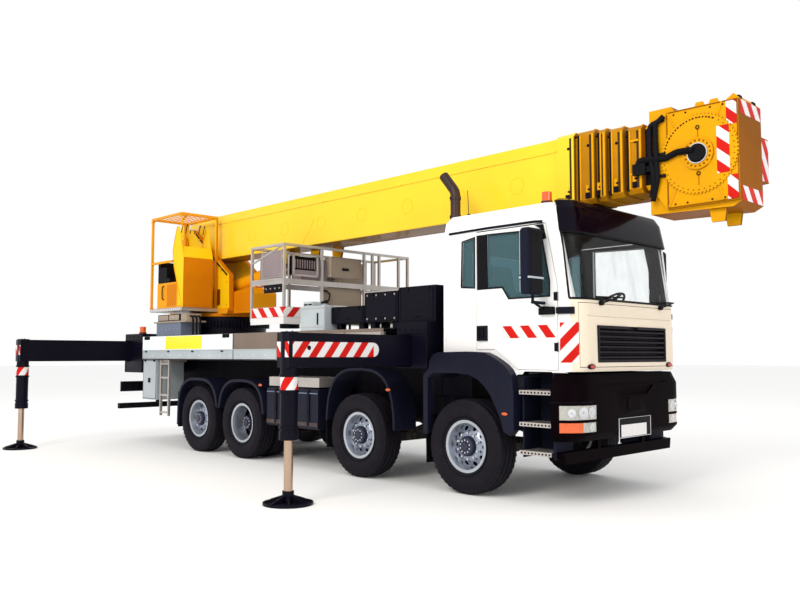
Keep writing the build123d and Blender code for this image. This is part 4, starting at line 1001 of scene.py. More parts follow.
def bumper_trim():
    """Bare number plate in its bright holder, the bars of the tow cover and the bumper's seams."""
    shape = Shape()
    x = 4.376
    shape.box((x - 0.004, -0.345, 0.664), (x + 0.010, 0.345, 0.882), "rubber")
    holder = [(-0.34, 0.668), (-0.34, 0.878), (0.34, 0.878), (0.34, 0.668), (-0.34, 0.668)]
    shape.pipe([(x + 0.012, y, z) for y, z in holder], 0.006, "bright", 8)
    shape.box((x + 0.008, -0.29, 0.676), (x + 0.014, 0.25, 0.806), "white")
    for y in (-0.12, 0.12):
        shape.pipe([(4.392, y, 0.975), (4.392, y, 1.075)], 0.007, "rubber", 6)
    for side in SIDES:
        seam = corner_path(BUMPER_LEVELS, 1.06, 1.235, 0.86, side, 0.001)
        shape.pipe([(*place, 1.075) for place in seam], 0.004, "rubber", 6)
    shape.build("bumper_trim", "chassis", "dark_plastic", 0.001)


def step_edges():
    """Light metal edges of the treads, with round grip holes and ribs along them."""
    shape = Shape()
    for side in SIDES:
        for top in (0.555, 0.852, 1.187):
            shape.box((3.716, side * 1.196, top - 0.040), (4.120, side * 1.2135, top + 0.004), "alloy")
            for k in range(9):
                hole = (3.745 + 0.044 * k, side * 1.2132, top - 0.019)
                shape.prism(oval(0.013, 0.011, 10), hole, outward(side), UP, 0.0012, "rubber")
            for k in range(7):
                x = 3.76 + 0.054 * k
                shape.pipe([(x, side * 0.90, top + 0.001), (x, side * 1.19, top + 0.001)], 0.006, "alloy", 6)
    shape.build("step_edges", "chassis", "basket_alloy", 0.001)


# Trim of the boom

GEAR_FACE = -0.3495
HUB_FACE = -0.367
HEAD_FACE = -0.3355
HUB = Vector((5.351, 0.0, 3.605))


def hub_rings(shape):
    """Bolt circles of the gear plate and its hub, the hub's rings and its cap."""
    gear, face = (HUB.x, GEAR_FACE, HUB.z), (HUB.x, HUB_FACE, HUB.z)
    arc = [math.radians(65 + 5.4 * k) for k in range(22)]
    shape.bolts(circle(gear, 0.372, arc, UP), RIGHTWARD, 0.008, "rubber")
    shape.bolts(circle(gear, 0.372, turns(40), UP), RIGHTWARD, 0.006, "head_dark")
    shape.bolts(circle(face, 0.132, turns(18), UP), RIGHTWARD, 0.009, "head_dark")
    shape.hoop(face, RIGHTWARD, 0.0, 0.006, 0.150, 0.158, "head", 40)
    shape.hoop(face, RIGHTWARD, 0.0, 0.014, 0.097, 0.107, "bright", 36)
    shape.cap((HUB.x, -0.3865, HUB.z), RIGHTWARD, 0.012, 0.088, 0.080, "rubber", 32)


def gear_marks(shape):
    """Ring and bar above and below the middle of the gear plate."""
    x = 5.352
    for z in (3.875, 3.40):
        shape.pipe(circle((x, GEAR_FACE - 0.008, z), 0.018, [*turns(12), 0.0], UP), 0.005, "rubber", 6)
        bar = rectangle(x - 0.004, x + 0.004, z - 0.12, z - 0.02)
        shape.plate(bar, GEAR_FACE - 0.001, GEAR_FACE + 0.001, "head_dark")


def head_stripes(shape):
    """Warning stripes on the side and the front of the head."""
    panels = (
        # rear x, top z, wide, tall, face, lead
        (5.544, 3.846, 0.128, 0.478, GEAR_FACE, 0.02),
        (5.640, 4.090, 0.115, 0.245, HEAD_FACE, 0.06),
        (5.640, 3.340, 0.115, 0.250, HEAD_FACE, 0.03),
    )
    for x, top, wide, tall, y, lead in panels:
        shape.stripes((x, y, top), -UP, FORWARD, tall, wide, 0.118, 0.11, lead=-lead, finishes=("white", "red"))
    for z, tall in ((3.955, 0.140), (3.085, 0.145)):
        shape.stripes((5.7602, -0.285, z), LEFTWARD, UP, 0.505, tall, 0.125, -0.11, depth=0.0014)


def head_frame(shape):
    """Stiffeners, border and bolts of the head's side, lifting eyes and caps on top, and rivets in front."""
    y = HEAD_FACE - 0.004
    for rear, front in (
        ((5.02, y, 4.09), (5.10, y, 3.93)), ((5.02, y, 3.10), (5.10, y, 3.27)),
        ((5.60, y, 4.09), (5.56, y, 3.97)), ((5.60, y, 3.10), (5.56, y, 3.24)),
    ):
        shape.pipe([rear, front], 0.010, "head", 6)
    border = [(5.012, 3.086), (5.752, 3.094), (5.752, 4.086), (5.014, 4.094)]
    shape.rim(border, HEAD_FACE - 0.003, 0.007, "head_dark")
    for x0, x1 in ((5.29, 5.40), (5.44, 5.55)):
        eye = [(x0, 4.105), (x1, 4.105), (x1 - 0.02, 4.155), (x0 + 0.02, 4.155)]
        shape.plate(eye, -0.285, -0.262, "head")
    for y in (-0.22, 0.11):
        shape.cap((5.724, y, 4.116), RIGHTWARD, 0.02, 0.036, 0.036, "rubber", 20)
    rows = [(x, HEAD_FACE, z) for x in (5.09, 5.22, 5.48, 5.61) for z in (4.06, 3.12)]
    shape.bolts(rows, RIGHTWARD, 0.009, "rubber")
    rivets = [(5.7605, 0.205 if k % 2 else -0.30, 3.30 + 0.055 * k) for k in range(11)]
    shape.bolts(rivets, FORWARD, 0.0005, "rubber")


def conduit_ribs(shape):
    """Ribs round the conduit that runs to the hub."""
    route = [Vector((x, y, z)) for x, y, z in (
        (4.73, -0.375, 3.632), (5.01, -0.375, 3.610), (5.13, -0.375, 3.650), (5.28, -0.392, 3.643),
    )]
    pitch = 0.026
    for here, there in zip(route, route[1:]):
        run = there - here
        for k in range(round(run.length / pitch)):
            at = here + run.normalized() * pitch * (k + 0.5)
            shape.hoop(at, run, -0.006, 0.006, 0.030, 0.0355, "rubber", 14)


def head_trim():
    shape = Shape()
    for part in (hub_rings, gear_marks, head_stripes, head_frame, conduit_ribs):
        part(shape)
    shape.build("head_trim", "boom_6", "boom_yellow")


COLLARS = (
    # section number, rear x, front x, half width, low z, top z
    (1, 3.650, 3.890, 0.262, 3.270, 4.112), (2, 3.935, 4.150, 0.258, 3.262, 4.104),
    (3, 4.190, 4.290, 0.250, 3.270, 4.086), (4, 4.330, 4.500, 0.242, 3.282, 4.068),
    (5, 4.540, 4.720, 0.232, 3.300, 4.044),
)


def collar_trim(number, rear, front, half, low, top):
    """Bright lips, dark gaps of painted shade, bolts and slide shoes at the front end of a boom section."""
    shape = Shape()
    lip = "boom" if number == 1 else "head"
    foot, brow = low + 0.05, top - 0.05
    for way in SIDES:
        y = BOOM_Y + way * half

        def strip(x0, x1, z0, z1, proud, finish):
            shape.box((x0, y - way * 0.002, z0), (x1, y + way * proud, z1), finish)

        strip(front - 0.026, front - 0.002, foot, brow, 0.010, lip)
        # Dark strip behind the lip: painted shade of the gap.
        strip(front - 0.060, front - 0.034, foot + 0.01, brow - 0.01, 0.003, "boom_recess_shade")
        if number > 1:
            strip(rear + 0.003, rear + 0.030, foot - 0.02, brow + 0.01, 0.003, "steel_black")
            strip(rear + 0.034, rear + 0.050, foot, brow, 0.010, lip)
        pair = [(front - 0.075, y, z) for z in (brow - 0.13, foot + 0.11)]
        shape.bolts(pair, (0, way, 0), 0.015, "steel_black")
        strip(front - 0.110, front - 0.062, foot + 0.01, foot + 0.075, 0.018, "steel_black")
        strip(front - 0.104, front - 0.070, foot + 0.02, foot + 0.16, 0.012, lip)
        if number == 5:
            for z in (3.50, 3.865):
                strip(rear + 0.045, front - 0.03, z, z + 0.022, 0.014, lip)
    edge = half - 0.05
    shape.box((front - 0.028, BOOM_Y - edge, top - 0.002), (front - 0.002, BOOM_Y + edge, top + 0.010), lip)
    shape.build(f"collar_{number}", f"boom_{number}", "boom_yellow", 0.001)


def boom_marks():
    """Ring marks, the slanted seam, the edge weld, bolts and straps of the outer boom section."""
    shape = Shape()
    y = BOOM_Y - 0.2455
    for k in range(8):
        shape.hoop((-3.55 + 0.945 * k, y, 3.62), RIGHTWARD, 0.0, 0.0018, 0.098, 0.104, "cheek", 36)
    shape.pipe([(-1.171, y, 3.343), (-0.98, y, 3.56), (-0.895, y, 3.70)], 0.004, "cheek", 6)
    shape.plate(rectangle(-4.90, 3.63, 3.302, 3.322), y - 0.004, y + 0.001, "boom")
    for x in (-2.35, -0.65, 1.05, 2.70):
        shape.bolt((x, y - 0.008, 3.935), RIGHTWARD, 0.011, "boom")
        shape.box((x - 0.05, BOOM_Y - 0.10, 4.076), (x + 0.05, BOOM_Y + 0.10, 4.090), "boom")
    for z in (3.42, 3.85):
        shape.box((-4.9515, BOOM_Y - 0.18, z), (-4.935, BOOM_Y + 0.18, z + 0.03), "boom")
    shape.build("boom_marks", "boom_1", "boom_yellow")


def jib_trim():
    """Warning stripes on the jib's end, and its hoses with their clips."""
    shape = Shape()
    shape.stripes((5.6005, 0.45, 3.435), LEFTWARD, UP, 0.365, 0.465, 0.12, -0.32)
    for x in (-1.2, -0.2, 0.8, 1.8, 2.8, 3.8, 4.8):
        shape.box((x, 0.252, 3.90), (x + 0.04, 0.825, 3.918), "boom")
        shape.bolt((x + 0.02, 0.82, 3.86), LEFTWARD, 0.010, "rubber")
    for y in (0.30, 0.36):
        shape.pipe([(-1.55, y, 3.80), (-1.0, y, 3.935), (4.9, y, 3.935), (5.2, y, 3.925)], 0.014, "rubber", 8)
    shape.build("jib_trim", "jib", "boom_yellow")


# Trim of the deck and the chassis

DECK_PANELS = (
    # rear x, front x, low z, top z, depth, finish
    (-4.690, -1.760, 1.655, 1.893, 0.0025, "deck_bright"), (-1.745, -1.725, 1.50, 1.893, 0.004, "brown_rail"),
    (-1.720, -0.604, 1.66, 1.893, 0.0025, "deck_side"), (-3.854, -2.655, 1.668, 1.885, 0.0045, "yellow_plate"),
    (-4.690, -0.610, 1.505, 1.640, 0.003, "tank_grey"), (-4.690, -0.610, 1.640, 1.652, 0.009, "tank_grey"),
    (-4.690, -0.610, 1.489, 1.500, 0.006, "rubber"), (-0.590, 1.640, 1.712, 1.722, 0.006, "deck_side"),
)


def deck_trim():
    """Side panels with the bare yellow sticker, tie-downs, hinges, bolt rows and posts of the deck."""
    shape = Shape()
    for side in SIDES:
        for panel in DECK_PANELS:
            shape.panel(side, *panel)
        y = side * (HALF_WIDTH + 0.012)
        for x in (-4.525, -1.945):
            shape.panel(side, x - 0.10, x + 0.10, 1.838, 1.896, 0.006, "rubber")
            loop = [(x - 0.05, y, 1.876), (x - 0.05, y, 1.85), (x + 0.05, y, 1.85), (x + 0.05, y, 1.876)]
            shape.pipe(loop, 0.008, "rubber", 8)
        for x in (-4.55, -3.75, -2.95, -2.05):
            shape.panel(side, x - 0.035, x + 0.035, 1.615, 1.640, 0.010, "rubber")
        for start, step, count, z, size in ((-4.60, 0.31, 13, 1.565, 0.009), (-0.50, 0.29, 8, 1.80, 0.008)):
            row = [(start + step * k, side * HALF_WIDTH, z) for k in range(count)]
            shape.bolts(row, (0, side, 0), size, "deck_bright")
        for x in (-0.60, 0.15, 0.90, 1.62):
            shape.panel(side, x - 0.012, x + 0.012, 1.702, 1.893, 0.006, "deck_side")
    shape.build("deck_trim", "chassis", "deck_grey")


def side_markers():
    """Orange side markers in black sockets."""
    shape = Shape()
    for side in SIDES:
        for x, y, z in ((-1.000, 1.240, 1.123), (1.735, 1.240, 1.135), (3.543, 1.232, 0.930)):
            shape.prism(oval(0.050, 0.024), (x, side * (y - 0.040), z), outward(side), UP, 0.046, "rubber")
            shape.prism(oval(0.040, 0.017), (x, side * (y + 0.004), z), outward(side), UP, 0.010, "lens_orange")
    shape.build("side_markers", "chassis", "lamp_lens")


def tank_trim():
    """Lower rail, blue-grey band of painted highlight, straps, treads and cap of the fuel tank, with the same
    rails on the far side.
    """
    shape = Shape()
    y = 1.224
    for side in SIDES:
        shape.panel(side, -0.852, 0.322, 0.585, 0.640, 0.012, "brown_rail", y)
        # Blue-grey band near the top: a painted highlight along the tank's upper edge.
        shape.panel(side, -0.852, 0.322, 1.030, 1.045, 0.010, "blue_grey", y)
        for x in (-0.66, -0.28, 0.10):
            shape.panel(side, x, x + 0.05, 0.592, 1.088, 0.016, "steel_black", y)
            shape.bolt((x + 0.025, side * 1.240, 0.80), (0, side, 0), 0.012, "steel_black")
    filler = [(0.0, 0.0), (0.0, 0.065), (0.03, 0.062), (0.04, 0.05), (0.04, 0.0)]
    shape.lathe(filler, (-0.70, -1.05, 1.25), UP, "steel_black", 24)
    for k in range(6):
        shape.box((-0.80 + 0.18 * k, -1.19, 1.249), (-0.78 + 0.18 * k, -0.67, 1.256), "alloy")
    shape.build("tank_trim", "chassis", "chassis_black", 0.001)


def cabinet_door(shape, x0, x1, low, top):
    """Door of a box on the deck, with its seal, hinges and handle, and the ribs on the box's lid."""
    shape.rim(rectangle(x0, x1, low, top), -1.101, 0.005, "rubber")
    shape.box((x0 + 0.02, -1.104, low + 0.02), (x1 - 0.02, -1.098, top - 0.02), "steel_black")
    for x in (x0 + 0.10, x1 - 0.12):
        shape.box((x, -1.112, top - 0.045), (x + 0.05, -1.100, top - 0.005), "rubber")
    start, end, z = (x0 + x1) / 2 - 0.04, (x0 + x1) / 2 + 0.04, low + 0.05
    handle = [(start, -1.106, z), (start, -1.120, z), (end, -1.120, z), (end, -1.106, z)]
    shape.pipe(handle, 0.006, "rubber", 6)
    for k in range(5):
        x = x0 + 0.06 + (x1 - x0 - 0.12) * k / 4
        shape.box((x - 0.006, -1.05, top + 0.012), (x + 0.006, -0.62, top + 0.016), "rubber")


def cabinet_trim():
    """Doors, bolts, lid edge and louvres of the boxes on the deck."""
    shape = Shape()
    for box in ((0.470, 1.100, 1.998, 2.203), (1.150, 1.740, 1.998, 2.372), (1.800, 2.375, 1.985, 2.398)):
        cabinet_door(shape, *box)
    rows = [(1.19 + 0.17 * k, -1.104, z) for k in range(4) for z in (2.335, 2.03)]
    shape.bolts(rows, RIGHTWARD, 0.011, "alloy")
    shape.box((1.132, -1.104, 2.372), (1.758, -1.094, 2.387), "alloy")
    for k in range(6):
        shape.box((1.86, -1.107, 2.06 + 0.05 * k), (2.30, -1.103, 2.08 + 0.05 * k), "rubber")
    shape.build("cabinet_trim", "chassis", "chassis_black")


def tank_fittings():
    """Seams, level gauge, cap and hoses of the hydraulic tank."""
    shape = Shape()
    for z in (1.945, 2.205):
        shape.box((-0.078, -1.234, z), (0.428, -1.229, z + 0.008), "alloy")
    shape.box((0.30, -1.236, 1.98), (0.33, -1.229, 2.14), "rubber")
    filler = [(0.0, 0.0), (0.0, 0.058), (0.022, 0.055), (0.03, 0.04), (0.03, 0.0)]
    shape.lathe(filler, (0.33, -1.12, 2.275), UP, "rubber", 24)
    shape.bolts(circle((0.33, -1.12, 2.262), 0.05, turns(5), LEFTWARD), UP, 0.006, "rubber")
    for k in range(4):
        x = -0.03 + 0.12 * k
        hose = [(x, -0.802, 2.10), (x, -0.72, 2.10), (x, -0.66, 2.04), (x, -0.66, 1.905)]
        shape.pipe(hose, 0.018, "rubber", 8)
    for x in (-0.03, 0.07):
        shape.pipe([(x - 0.02, -1.181, 2.27), (x + 0.05, -1.181, 2.27)], 0.010, "rubber", 8)
    shape.build("tank_fittings", "chassis", "chassis_black")


def valve_box_trim():
    """Flaps, catches and bolts of the valve box under the operator's stand, with hoses round its corner."""
    shape = Shape()
    for x0, x1 in ((-4.27, -3.93), (-3.90, -3.56)):
        shape.box((x0, -1.174, 2.172), (x1, -1.168, 2.262), "beige_box")
        shape.box((x0 + 0.14, -1.182, 2.205), (x0 + 0.20, -1.172, 2.235), "alloy")
    shape.bolts([(-4.28 + 0.14 * k, -1.181, 2.02) for k in range(6)], RIGHTWARD, 0.009, "alloy")
    for k in range(3):
        y = -1.10 + 0.07 * k
        shape.pipe([(-3.302, y, 2.23), (-3.24, y, 2.23), (-3.21, y, 2.16), (-3.21, y, 1.90)], 0.016, "rubber", 8)
    shape.build("valve_box_trim", "chassis", "chassis_black", 0.001)


def exhaust_trim():
    """Clamps on the exhaust, the perforated heat shield at its near side, and its stays."""
    shape = Shape()
    x, y = 2.48, -0.82
    for z in (2.42, 3.25, 3.48):
        shape.hoop((x, y, z), UP, -0.022, 0.022, 0.060, 0.070, "exhaust", 28)
        shape.bolt((2.46, -0.888, z), RIGHTWARD, 0.012, "exhaust")
    angles = [math.radians(200 + 11 * k) for k in range(10)]
    for row in range(26):
        shape.pipe(circle((x, y, 2.40 + 0.029 * row), 0.082, angles, LEFTWARD), 0.006, "shield", 5)
    for foot in circle((x, y, 2.39), 0.083, angles[::2], LEFTWARD):
        shape.pipe([foot, (foot.x, foot.y, 3.135)], 0.008, "shield", 5)
    for z in (2.55, 3.0):
        shape.pipe([(x, y, z), (2.43, -0.70, z), (2.40, -0.62, z)], 0.014, "exhaust", 8)
    shape.build("exhaust_trim", "chassis", "exhaust_brown")


# Middle of each outrigger beam along the machine, and of its jack where that differs
BEAM_X = {"front_right": 2.03, "front_left": 2.26, "rear_right": -5.25, "rear_left": -5.02}
JACK_X = {**BEAM_X, "front_left": 2.03}
BEAM_HALF = 0.105
STRIPE_TALL = 0.165
STRIPE_PITCH = 0.105


def flank_stripes(shape, middle, side, end, low):
    """Warning stripes on both flanks of a front beam, with their round inner end and the grip hole."""
    inner = side * 1.86
    for face in (1, -1):
        x = middle + face * BEAM_HALF
        along = LEFTWARD * face
        near, far = sorted((side * (end - 0.05), inner))
        start = (x, near if face > 0 else far, low)
        shape.stripes(start, along, UP, far - near, STRIPE_TALL, STRIPE_PITCH, -0.13 * face * side)
        arc = [math.pi * k / 12 for k in range(13)]
        half_disc = [(-side * face * 0.08 * math.sin(a), 0.08 * math.cos(a)) for a in arc]
        shape.prism(half_disc, (x, inner, low + 0.0825), along, UP, 0.002, "white")
        hole = (x + face * 0.002, side * 2.8, low + 0.10)
        shape.prism(oval(0.025, 0.025), hole, along, UP, 0.0012, "rubber")


def jack_stripes(shape, x, y, low):
    """Six slanted bands round a jack's tube, each in six short steps."""
    for level in range(6):
        for k in range(6):
            points = []
            for lift in (level, level + 1):
                angles = [math.pi / 3 * (k + part / 5) + 0.16 * lift for part in range(6)]
                points += circle((x, y, low + 0.136 * lift / 6), 0.0965, angles, LEFTWARD)
            shape.add(points, [[i, i + 1, i + 7, i + 6] for i in range(5)], "white" if k % 2 else "red")


def beam_trim(place, hand, side):
    """Warning stripes on an outrigger beam and round its jack tube, with the tube's rings, lid and bolts."""
    shape = Shape()
    name = f"{place}_{hand}"
    out, low, bands, top = (2.98, 1.54, 1.195, 1.80) if place == "front" else (3.13, 1.57, 1.227, 1.825)
    middle, x, y = BEAM_X[name], JACK_X[name], side * out
    end = out + 0.085
    start = (middle + side * BEAM_HALF, side * end, low)
    shape.stripes(start, outward(side), UP, 2 * BEAM_HALF, STRIPE_TALL, STRIPE_PITCH, side * 0.13)
    if place == "front":
        flank_stripes(shape, middle, side, end, low)
    jack_stripes(shape, x, y, bands)
    for z in (bands - 0.02, bands + 0.155, 0.80):
        shape.hoop((x, y, z), UP, -0.012, 0.012, 0.095, 0.106, "steel_black", 28)
    shape.cap((x, y, top), UP, 0.012, 0.10, 0.092, "steel_black", 28)
    shape.bolts([(x + way * 0.05, y, top + 0.010) for way in SIDES], UP, 0.012, "rubber")
    shape.build(f"beam_trim_{name}", f"beam_{name}", "jack_black", smooth_deg=50)


def housing_trim():
    """Rims round the mouths of the outrigger boxes, with a bolt row above each."""
    shape = Shape()
    for x0, x1, low, top in ((1.90, 2.39, 1.415, 1.825), (-5.375, -4.72, 1.262, 1.85)):
        for side in SIDES:
            shape.rim(rectangle(x0, x1, low, top), side * HALF_WIDTH, 0.006, "steel_black")
            across = [x0 + 0.03 + (x1 - x0 - 0.06) * k / 4 for k in range(5)]
            row = [(x, side * (HALF_WIDTH - 0.001), top + 0.045) for x in across]
            shape.bolts(row, (0, side, 0), 0.011, "rubber")
    shape.build("housing_trim", "chassis", "chassis_black")


def mud_flaps():
    """Ribbed rubber flaps behind the wheels of the first, second and last axles."""
    shape = Shape()
    for side in SIDES:
        for x, top, low in ((2.338, 0.86, 0.30), (0.49, 0.88, 0.33), (-3.47, 0.95, 0.36)):
            sheet = [(0.0, 0.95, top), (0.0, 1.21, top), (0.012, 1.21, low), (0.012, 0.95, low)]
            loops = [[(start + a, side * b, c) for a, b, c in sheet] for start in (x, x + 0.008)]
            shape.ring(loops, "rubber")
            for k in range(4):
                y = side * (0.98 + 0.07 * k)
                shape.pipe([(x - 0.002, y, low + 0.06), (x - 0.002, y, top - 0.08)], 0.004, "rubber", 5)
    shape.build("mud_flaps", "chassis", "dark_plastic")


def rear_trim():
    """Locker door, ladder treads, and the bare plate, bolts and reflectors at the rear."""
    shape = Shape()
    shape.box((-4.69, -1.230, 0.80), (-4.22, -1.224, 1.47), "tank_grey")
    shape.rim(rectangle(-4.69, -4.22, 0.80, 1.47), -1.228, 0.005, "rubber")
    shape.box((-4.49, -1.242, 1.08), (-4.42, -1.228, 1.16), "rubber")
    for x in (-4.62, -4.29):
        shape.box((x - 0.03, -1.236, 1.45), (x + 0.03, -1.226, 1.482), "rubber")
    treads = [(-4.01 + 0.04 * k, -1.215, z) for z in (0.59, 0.89, 1.19, 1.43) for k in range(6)]
    shape.bolts(treads, UP, 0.007, "alloy")
    x = -5.759
    shape.box((x + 0.002, -0.30, 0.92), (x + 0.062, 0.30, 1.03), "white")
    shape.bolts([(x + 0.062, y, 0.975) for y in (-1.0, -0.5, 0.5, 1.0)], -FORWARD, 0.014, "rubber")
    for y in (-0.9, -0.3, 0.3, 0.9):
        shape.box((-5.7515, y - 0.12, 0.585), (-5.748, y + 0.12, 0.635), "red")
    shape.build("rear_trim", "chassis", "chassis_black")


def air_tank(shape, x0, x1, y, z):
    """Air tank lying along the machine, hung by two bands."""
    tank = [(x0, 0.0), (x0, 0.09), (x0 + 0.03, 0.125), (x1 - 0.03, 0.125), (x1, 0.09), (x1, 0.0)]
    shape.lathe(tank, (0, y, z), FORWARD, "chassis", 28)
    for x in (x0 + 0.12, x1 - 0.12):
        shape.hoop((0, y, z), FORWARD, x - 0.015, x + 0.015, 0.124, 0.130, "alloy", 28)
        shape.box((x - 0.015, y - 0.012, z + 0.12), (x + 0.015, y + 0.012, z + 0.34), "chassis")


def underside():
    """Drive shaft with its joints, air tanks, and the brake pots of all axles but the first."""
    shape = Shape()
    shaft = [(2.25, 0.0, 0.74), (0.35, 0.0, 0.66), (-1.22, 0.0, 0.58)]
    shape.pipe(shaft, 0.048, "iron", 16)
    for joint in shaft:
        shape.lathe([(-0.05, 0.0), (-0.05, 0.085), (0.05, 0.085), (0.05, 0.0)], joint, (1, 0, 0.04), "chassis", 20)
    pot = [(-0.09, 0.0), (-0.09, 0.055), (-0.01, 0.075), (0.0, 0.082), (0.01, 0.075), (0.07, 0.06), (0.07, 0.0)]
    for side in SIDES:
        air_tank(shape, -4.08, -3.48, side * 0.60, 0.72)
        air_tank(shape, -0.56, 0.10, side * 0.30, 0.40)
        for number in (2, 3, 4):
            shape.lathe(pot, (AXLE_X[number] - 0.20, side * 0.70, 0.56), FORWARD, "chassis", 22)
    shape.build("underside", "chassis", "chassis_black")


def cab_extras():
    """Aerial, rear grab rails and roof seams of the cab."""
    shape = Shape()
    shape.pipe([(2.849, -1.0, 3.19), (2.849, -1.0, 3.22)], 0.018, "trim_black", 10)
    shape.pipe([(2.849, -1.0, 3.21), (2.835, -1.005, 3.50)], 0.004, "trim_black", 6)
    for side in SIDES:
        y = side * 0.98
        shape.pipe([(2.552, y, 1.62), (2.50, y, 1.66), (2.50, y, 2.20), (2.552, y, 2.24)], 0.013, "trim_black", 8)
        for y in (side * 0.25, side * 0.55):
            shape.pipe([(2.95, y, 3.243), (3.80, y, 3.243)], 0.006, "trim_black", 6)
    shape.build("cab_extras", "chassis", "dark_plastic")


# Trim of the turret and the operator's stand

def turret_trim():
    """Slot, hose with clips, pin caps, bolts and weld lines of the turret."""
    shape = Shape()
    y = BOOM_Y - 0.3505
    slot = [
        (-3.60, 2.445), (-3.43, 2.445), (-3.41, 2.47), (-3.41, 2.73),
        (-3.60, 2.745), (-3.62, 2.72), (-3.62, 2.465),
    ]
    shape.plate(slot, y - 0.0035, y + 0.002, "slot_red")
    hose = [(-4.241, 3.80), (-3.90, 3.53), (-3.569, 3.255), (-3.18, 2.975)]
    shape.pipe([(x, y - 0.02, z) for x, z in hose], 0.013, "rubber", 8)
    for x, z in ((-4.10, 3.70), (-3.73, 3.40), (-3.36, 3.115)):
        shape.box((x - 0.02, y - 0.036, z - 0.045), (x + 0.02, y - 0.002, z - 0.005), "turret")
    places = ((-4.88, 2.45), (-4.88, 3.0), (-4.88, 3.5), (-3.95, 2.45), (-3.20, 2.45), (-3.20, 2.85))
    for way in SIDES:
        pin, axis = (PIVOT.x, BOOM_Y + way * 0.381, PIVOT.z), (0, way, 0)
        shape.cap(pin, axis, 0.018, 0.092, 0.085, "turret", 32)
        shape.bolts(circle(pin, 0.11, turns(8), UP), axis, 0.010, "turret")
        shape.bolts([(x, BOOM_Y + way * 0.3505, z) for x, z in places], axis, 0.014, "turret")
    shape.pipe([(-4.95, y - 0.001, 2.385), (-3.125, y - 0.001, 2.385)], 0.006, "turret", 6)
    shape.bolts([(-2.5505, -0.30 + 0.049 * k, 2.38) for k in range(9)], FORWARD, 0.008, "turret")
    nose = [(-3.10, 2.31), (-2.62, 2.31), (-2.57, 2.36), (-2.57, 2.60), (-2.62, 2.68), (-3.10, 2.64)]
    shape.rim(nose, BOOM_Y - 0.2455, 0.005, "turret")
    ring = circle((-3.85, 0.0, 2.2995), 0.655, turns(30), LEFTWARD)
    shape.bolts([at for at in ring if abs(at.y) > 0.5], UP, 0.013, "turret")
    shape.build("turret_trim", "turret", "turret_orange")


def knob(shape, centre, axis, half, radius):
    """Round knob of a lever."""
    shape.lathe([(-half, 0.0), (-0.010, radius), (0.010, radius), (half, 0.0)], centre, axis, "rubber", 12)


def stand_trim():
    """Locker door, grab bar, flap, levers, mirror, hand rails, brackets and floor marks of the stand."""
    shape = Shape()
    shape.rim(rectangle(-4.04, -3.70, 2.42, 2.81), -1.1505, 0.006, "turret")
    shape.box((-4.035, -1.154, 2.43), (-3.705, -1.149, 2.80), "turret_front")
    grab = [(-1.151, 2.54), (-1.185, 2.56), (-1.188, 2.67), (-1.185, 2.77), (-1.151, 2.79)]
    shape.pipe([(-4.14, y, z) for y, z in grab], 0.011, "rubber", 8)
    # The forward-facing flap and its bolts take the darker orange: painted shade.
    shape.box((-3.4185, -1.165, 2.42), (-3.415, -0.625, 3.235), "turret_front")
    corners = [(-3.4155, y, z) for y in (-1.15, -0.64) for z in (2.46, 2.84, 3.20)]
    shape.bolts(corners, FORWARD, 0.008, "turret_front")
    for k in range(6):
        y = -1.10 + 0.085 * k
        shape.pipe([(-3.66, y, 3.70), (-3.63, y, 3.79), (-3.61, y, 3.83)], 0.007, "rubber", 6)
        knob(shape, (-3.605, y, 3.84), (0.3, 0, 1), 0.014, 0.013)
    shape.box((-3.505, -1.03, 3.742), (-3.49, -0.868, 3.826), "white")
    shape.box((-3.488, -1.02, 3.75), (-3.486, -0.878, 3.818), "mirror")
    rail = [(-3.447, 2.40), (-3.618, 2.80), (-3.738, 3.10), (-3.788, 3.38), (-3.738, 3.56), (-3.650, 3.80)]
    for y in (-1.18, -0.62):
        shape.pipe([(x, y, z) for x, z in rail], 0.010, "turret", 8)
    for x in (-4.553, -3.519):
        for z in (2.41, 3.98):
            shape.box((x - 0.035, -1.192, z - 0.012), (x + 0.035, -1.15, z + 0.012), "turret")
    for k in range(16):
        x = -4.53 + 0.066 * k
        shape.box((x, -1.1905, 2.345), (x + 0.03, -1.1885, 2.375), "white")
    shape.build("stand_trim", "turret", "turret_orange")


# Trim of the basket

BASKET_REAR, BASKET_FRONT = -1.440, -0.580
BASKET_NEAR, BASKET_FAR = -1.150, 1.440


def basket_sides(shape):
    """Toe stripes above white panels on three sides, and the edges of the side panels."""
    for side, y in ((RIGHT, -BASKET_NEAR), (LEFT, BASKET_FAR)):
        shape.side_stripes(side, -1.39, BASKET_FRONT, 2.125, 0.145, y, 0.14, -0.13)
        shape.panel(side, -1.42, BASKET_FRONT, 2.020, 2.118, 0.002, "white", y)
        shape.panel(side, -1.40, -0.62, 2.672, 2.700, 0.006, "alloy", y)
    start = (BASKET_FRONT, BASKET_NEAR, 2.125)
    shape.stripes(start, LEFTWARD, UP, BASKET_FAR - BASKET_NEAR, 0.145, 0.13, 0.13, lead=0.05)
    low, high = (BASKET_FRONT - 0.002, BASKET_NEAR, 2.020), (BASKET_FRONT + 0.002, BASKET_FAR, 2.118)
    shape.box(low, high, "white")


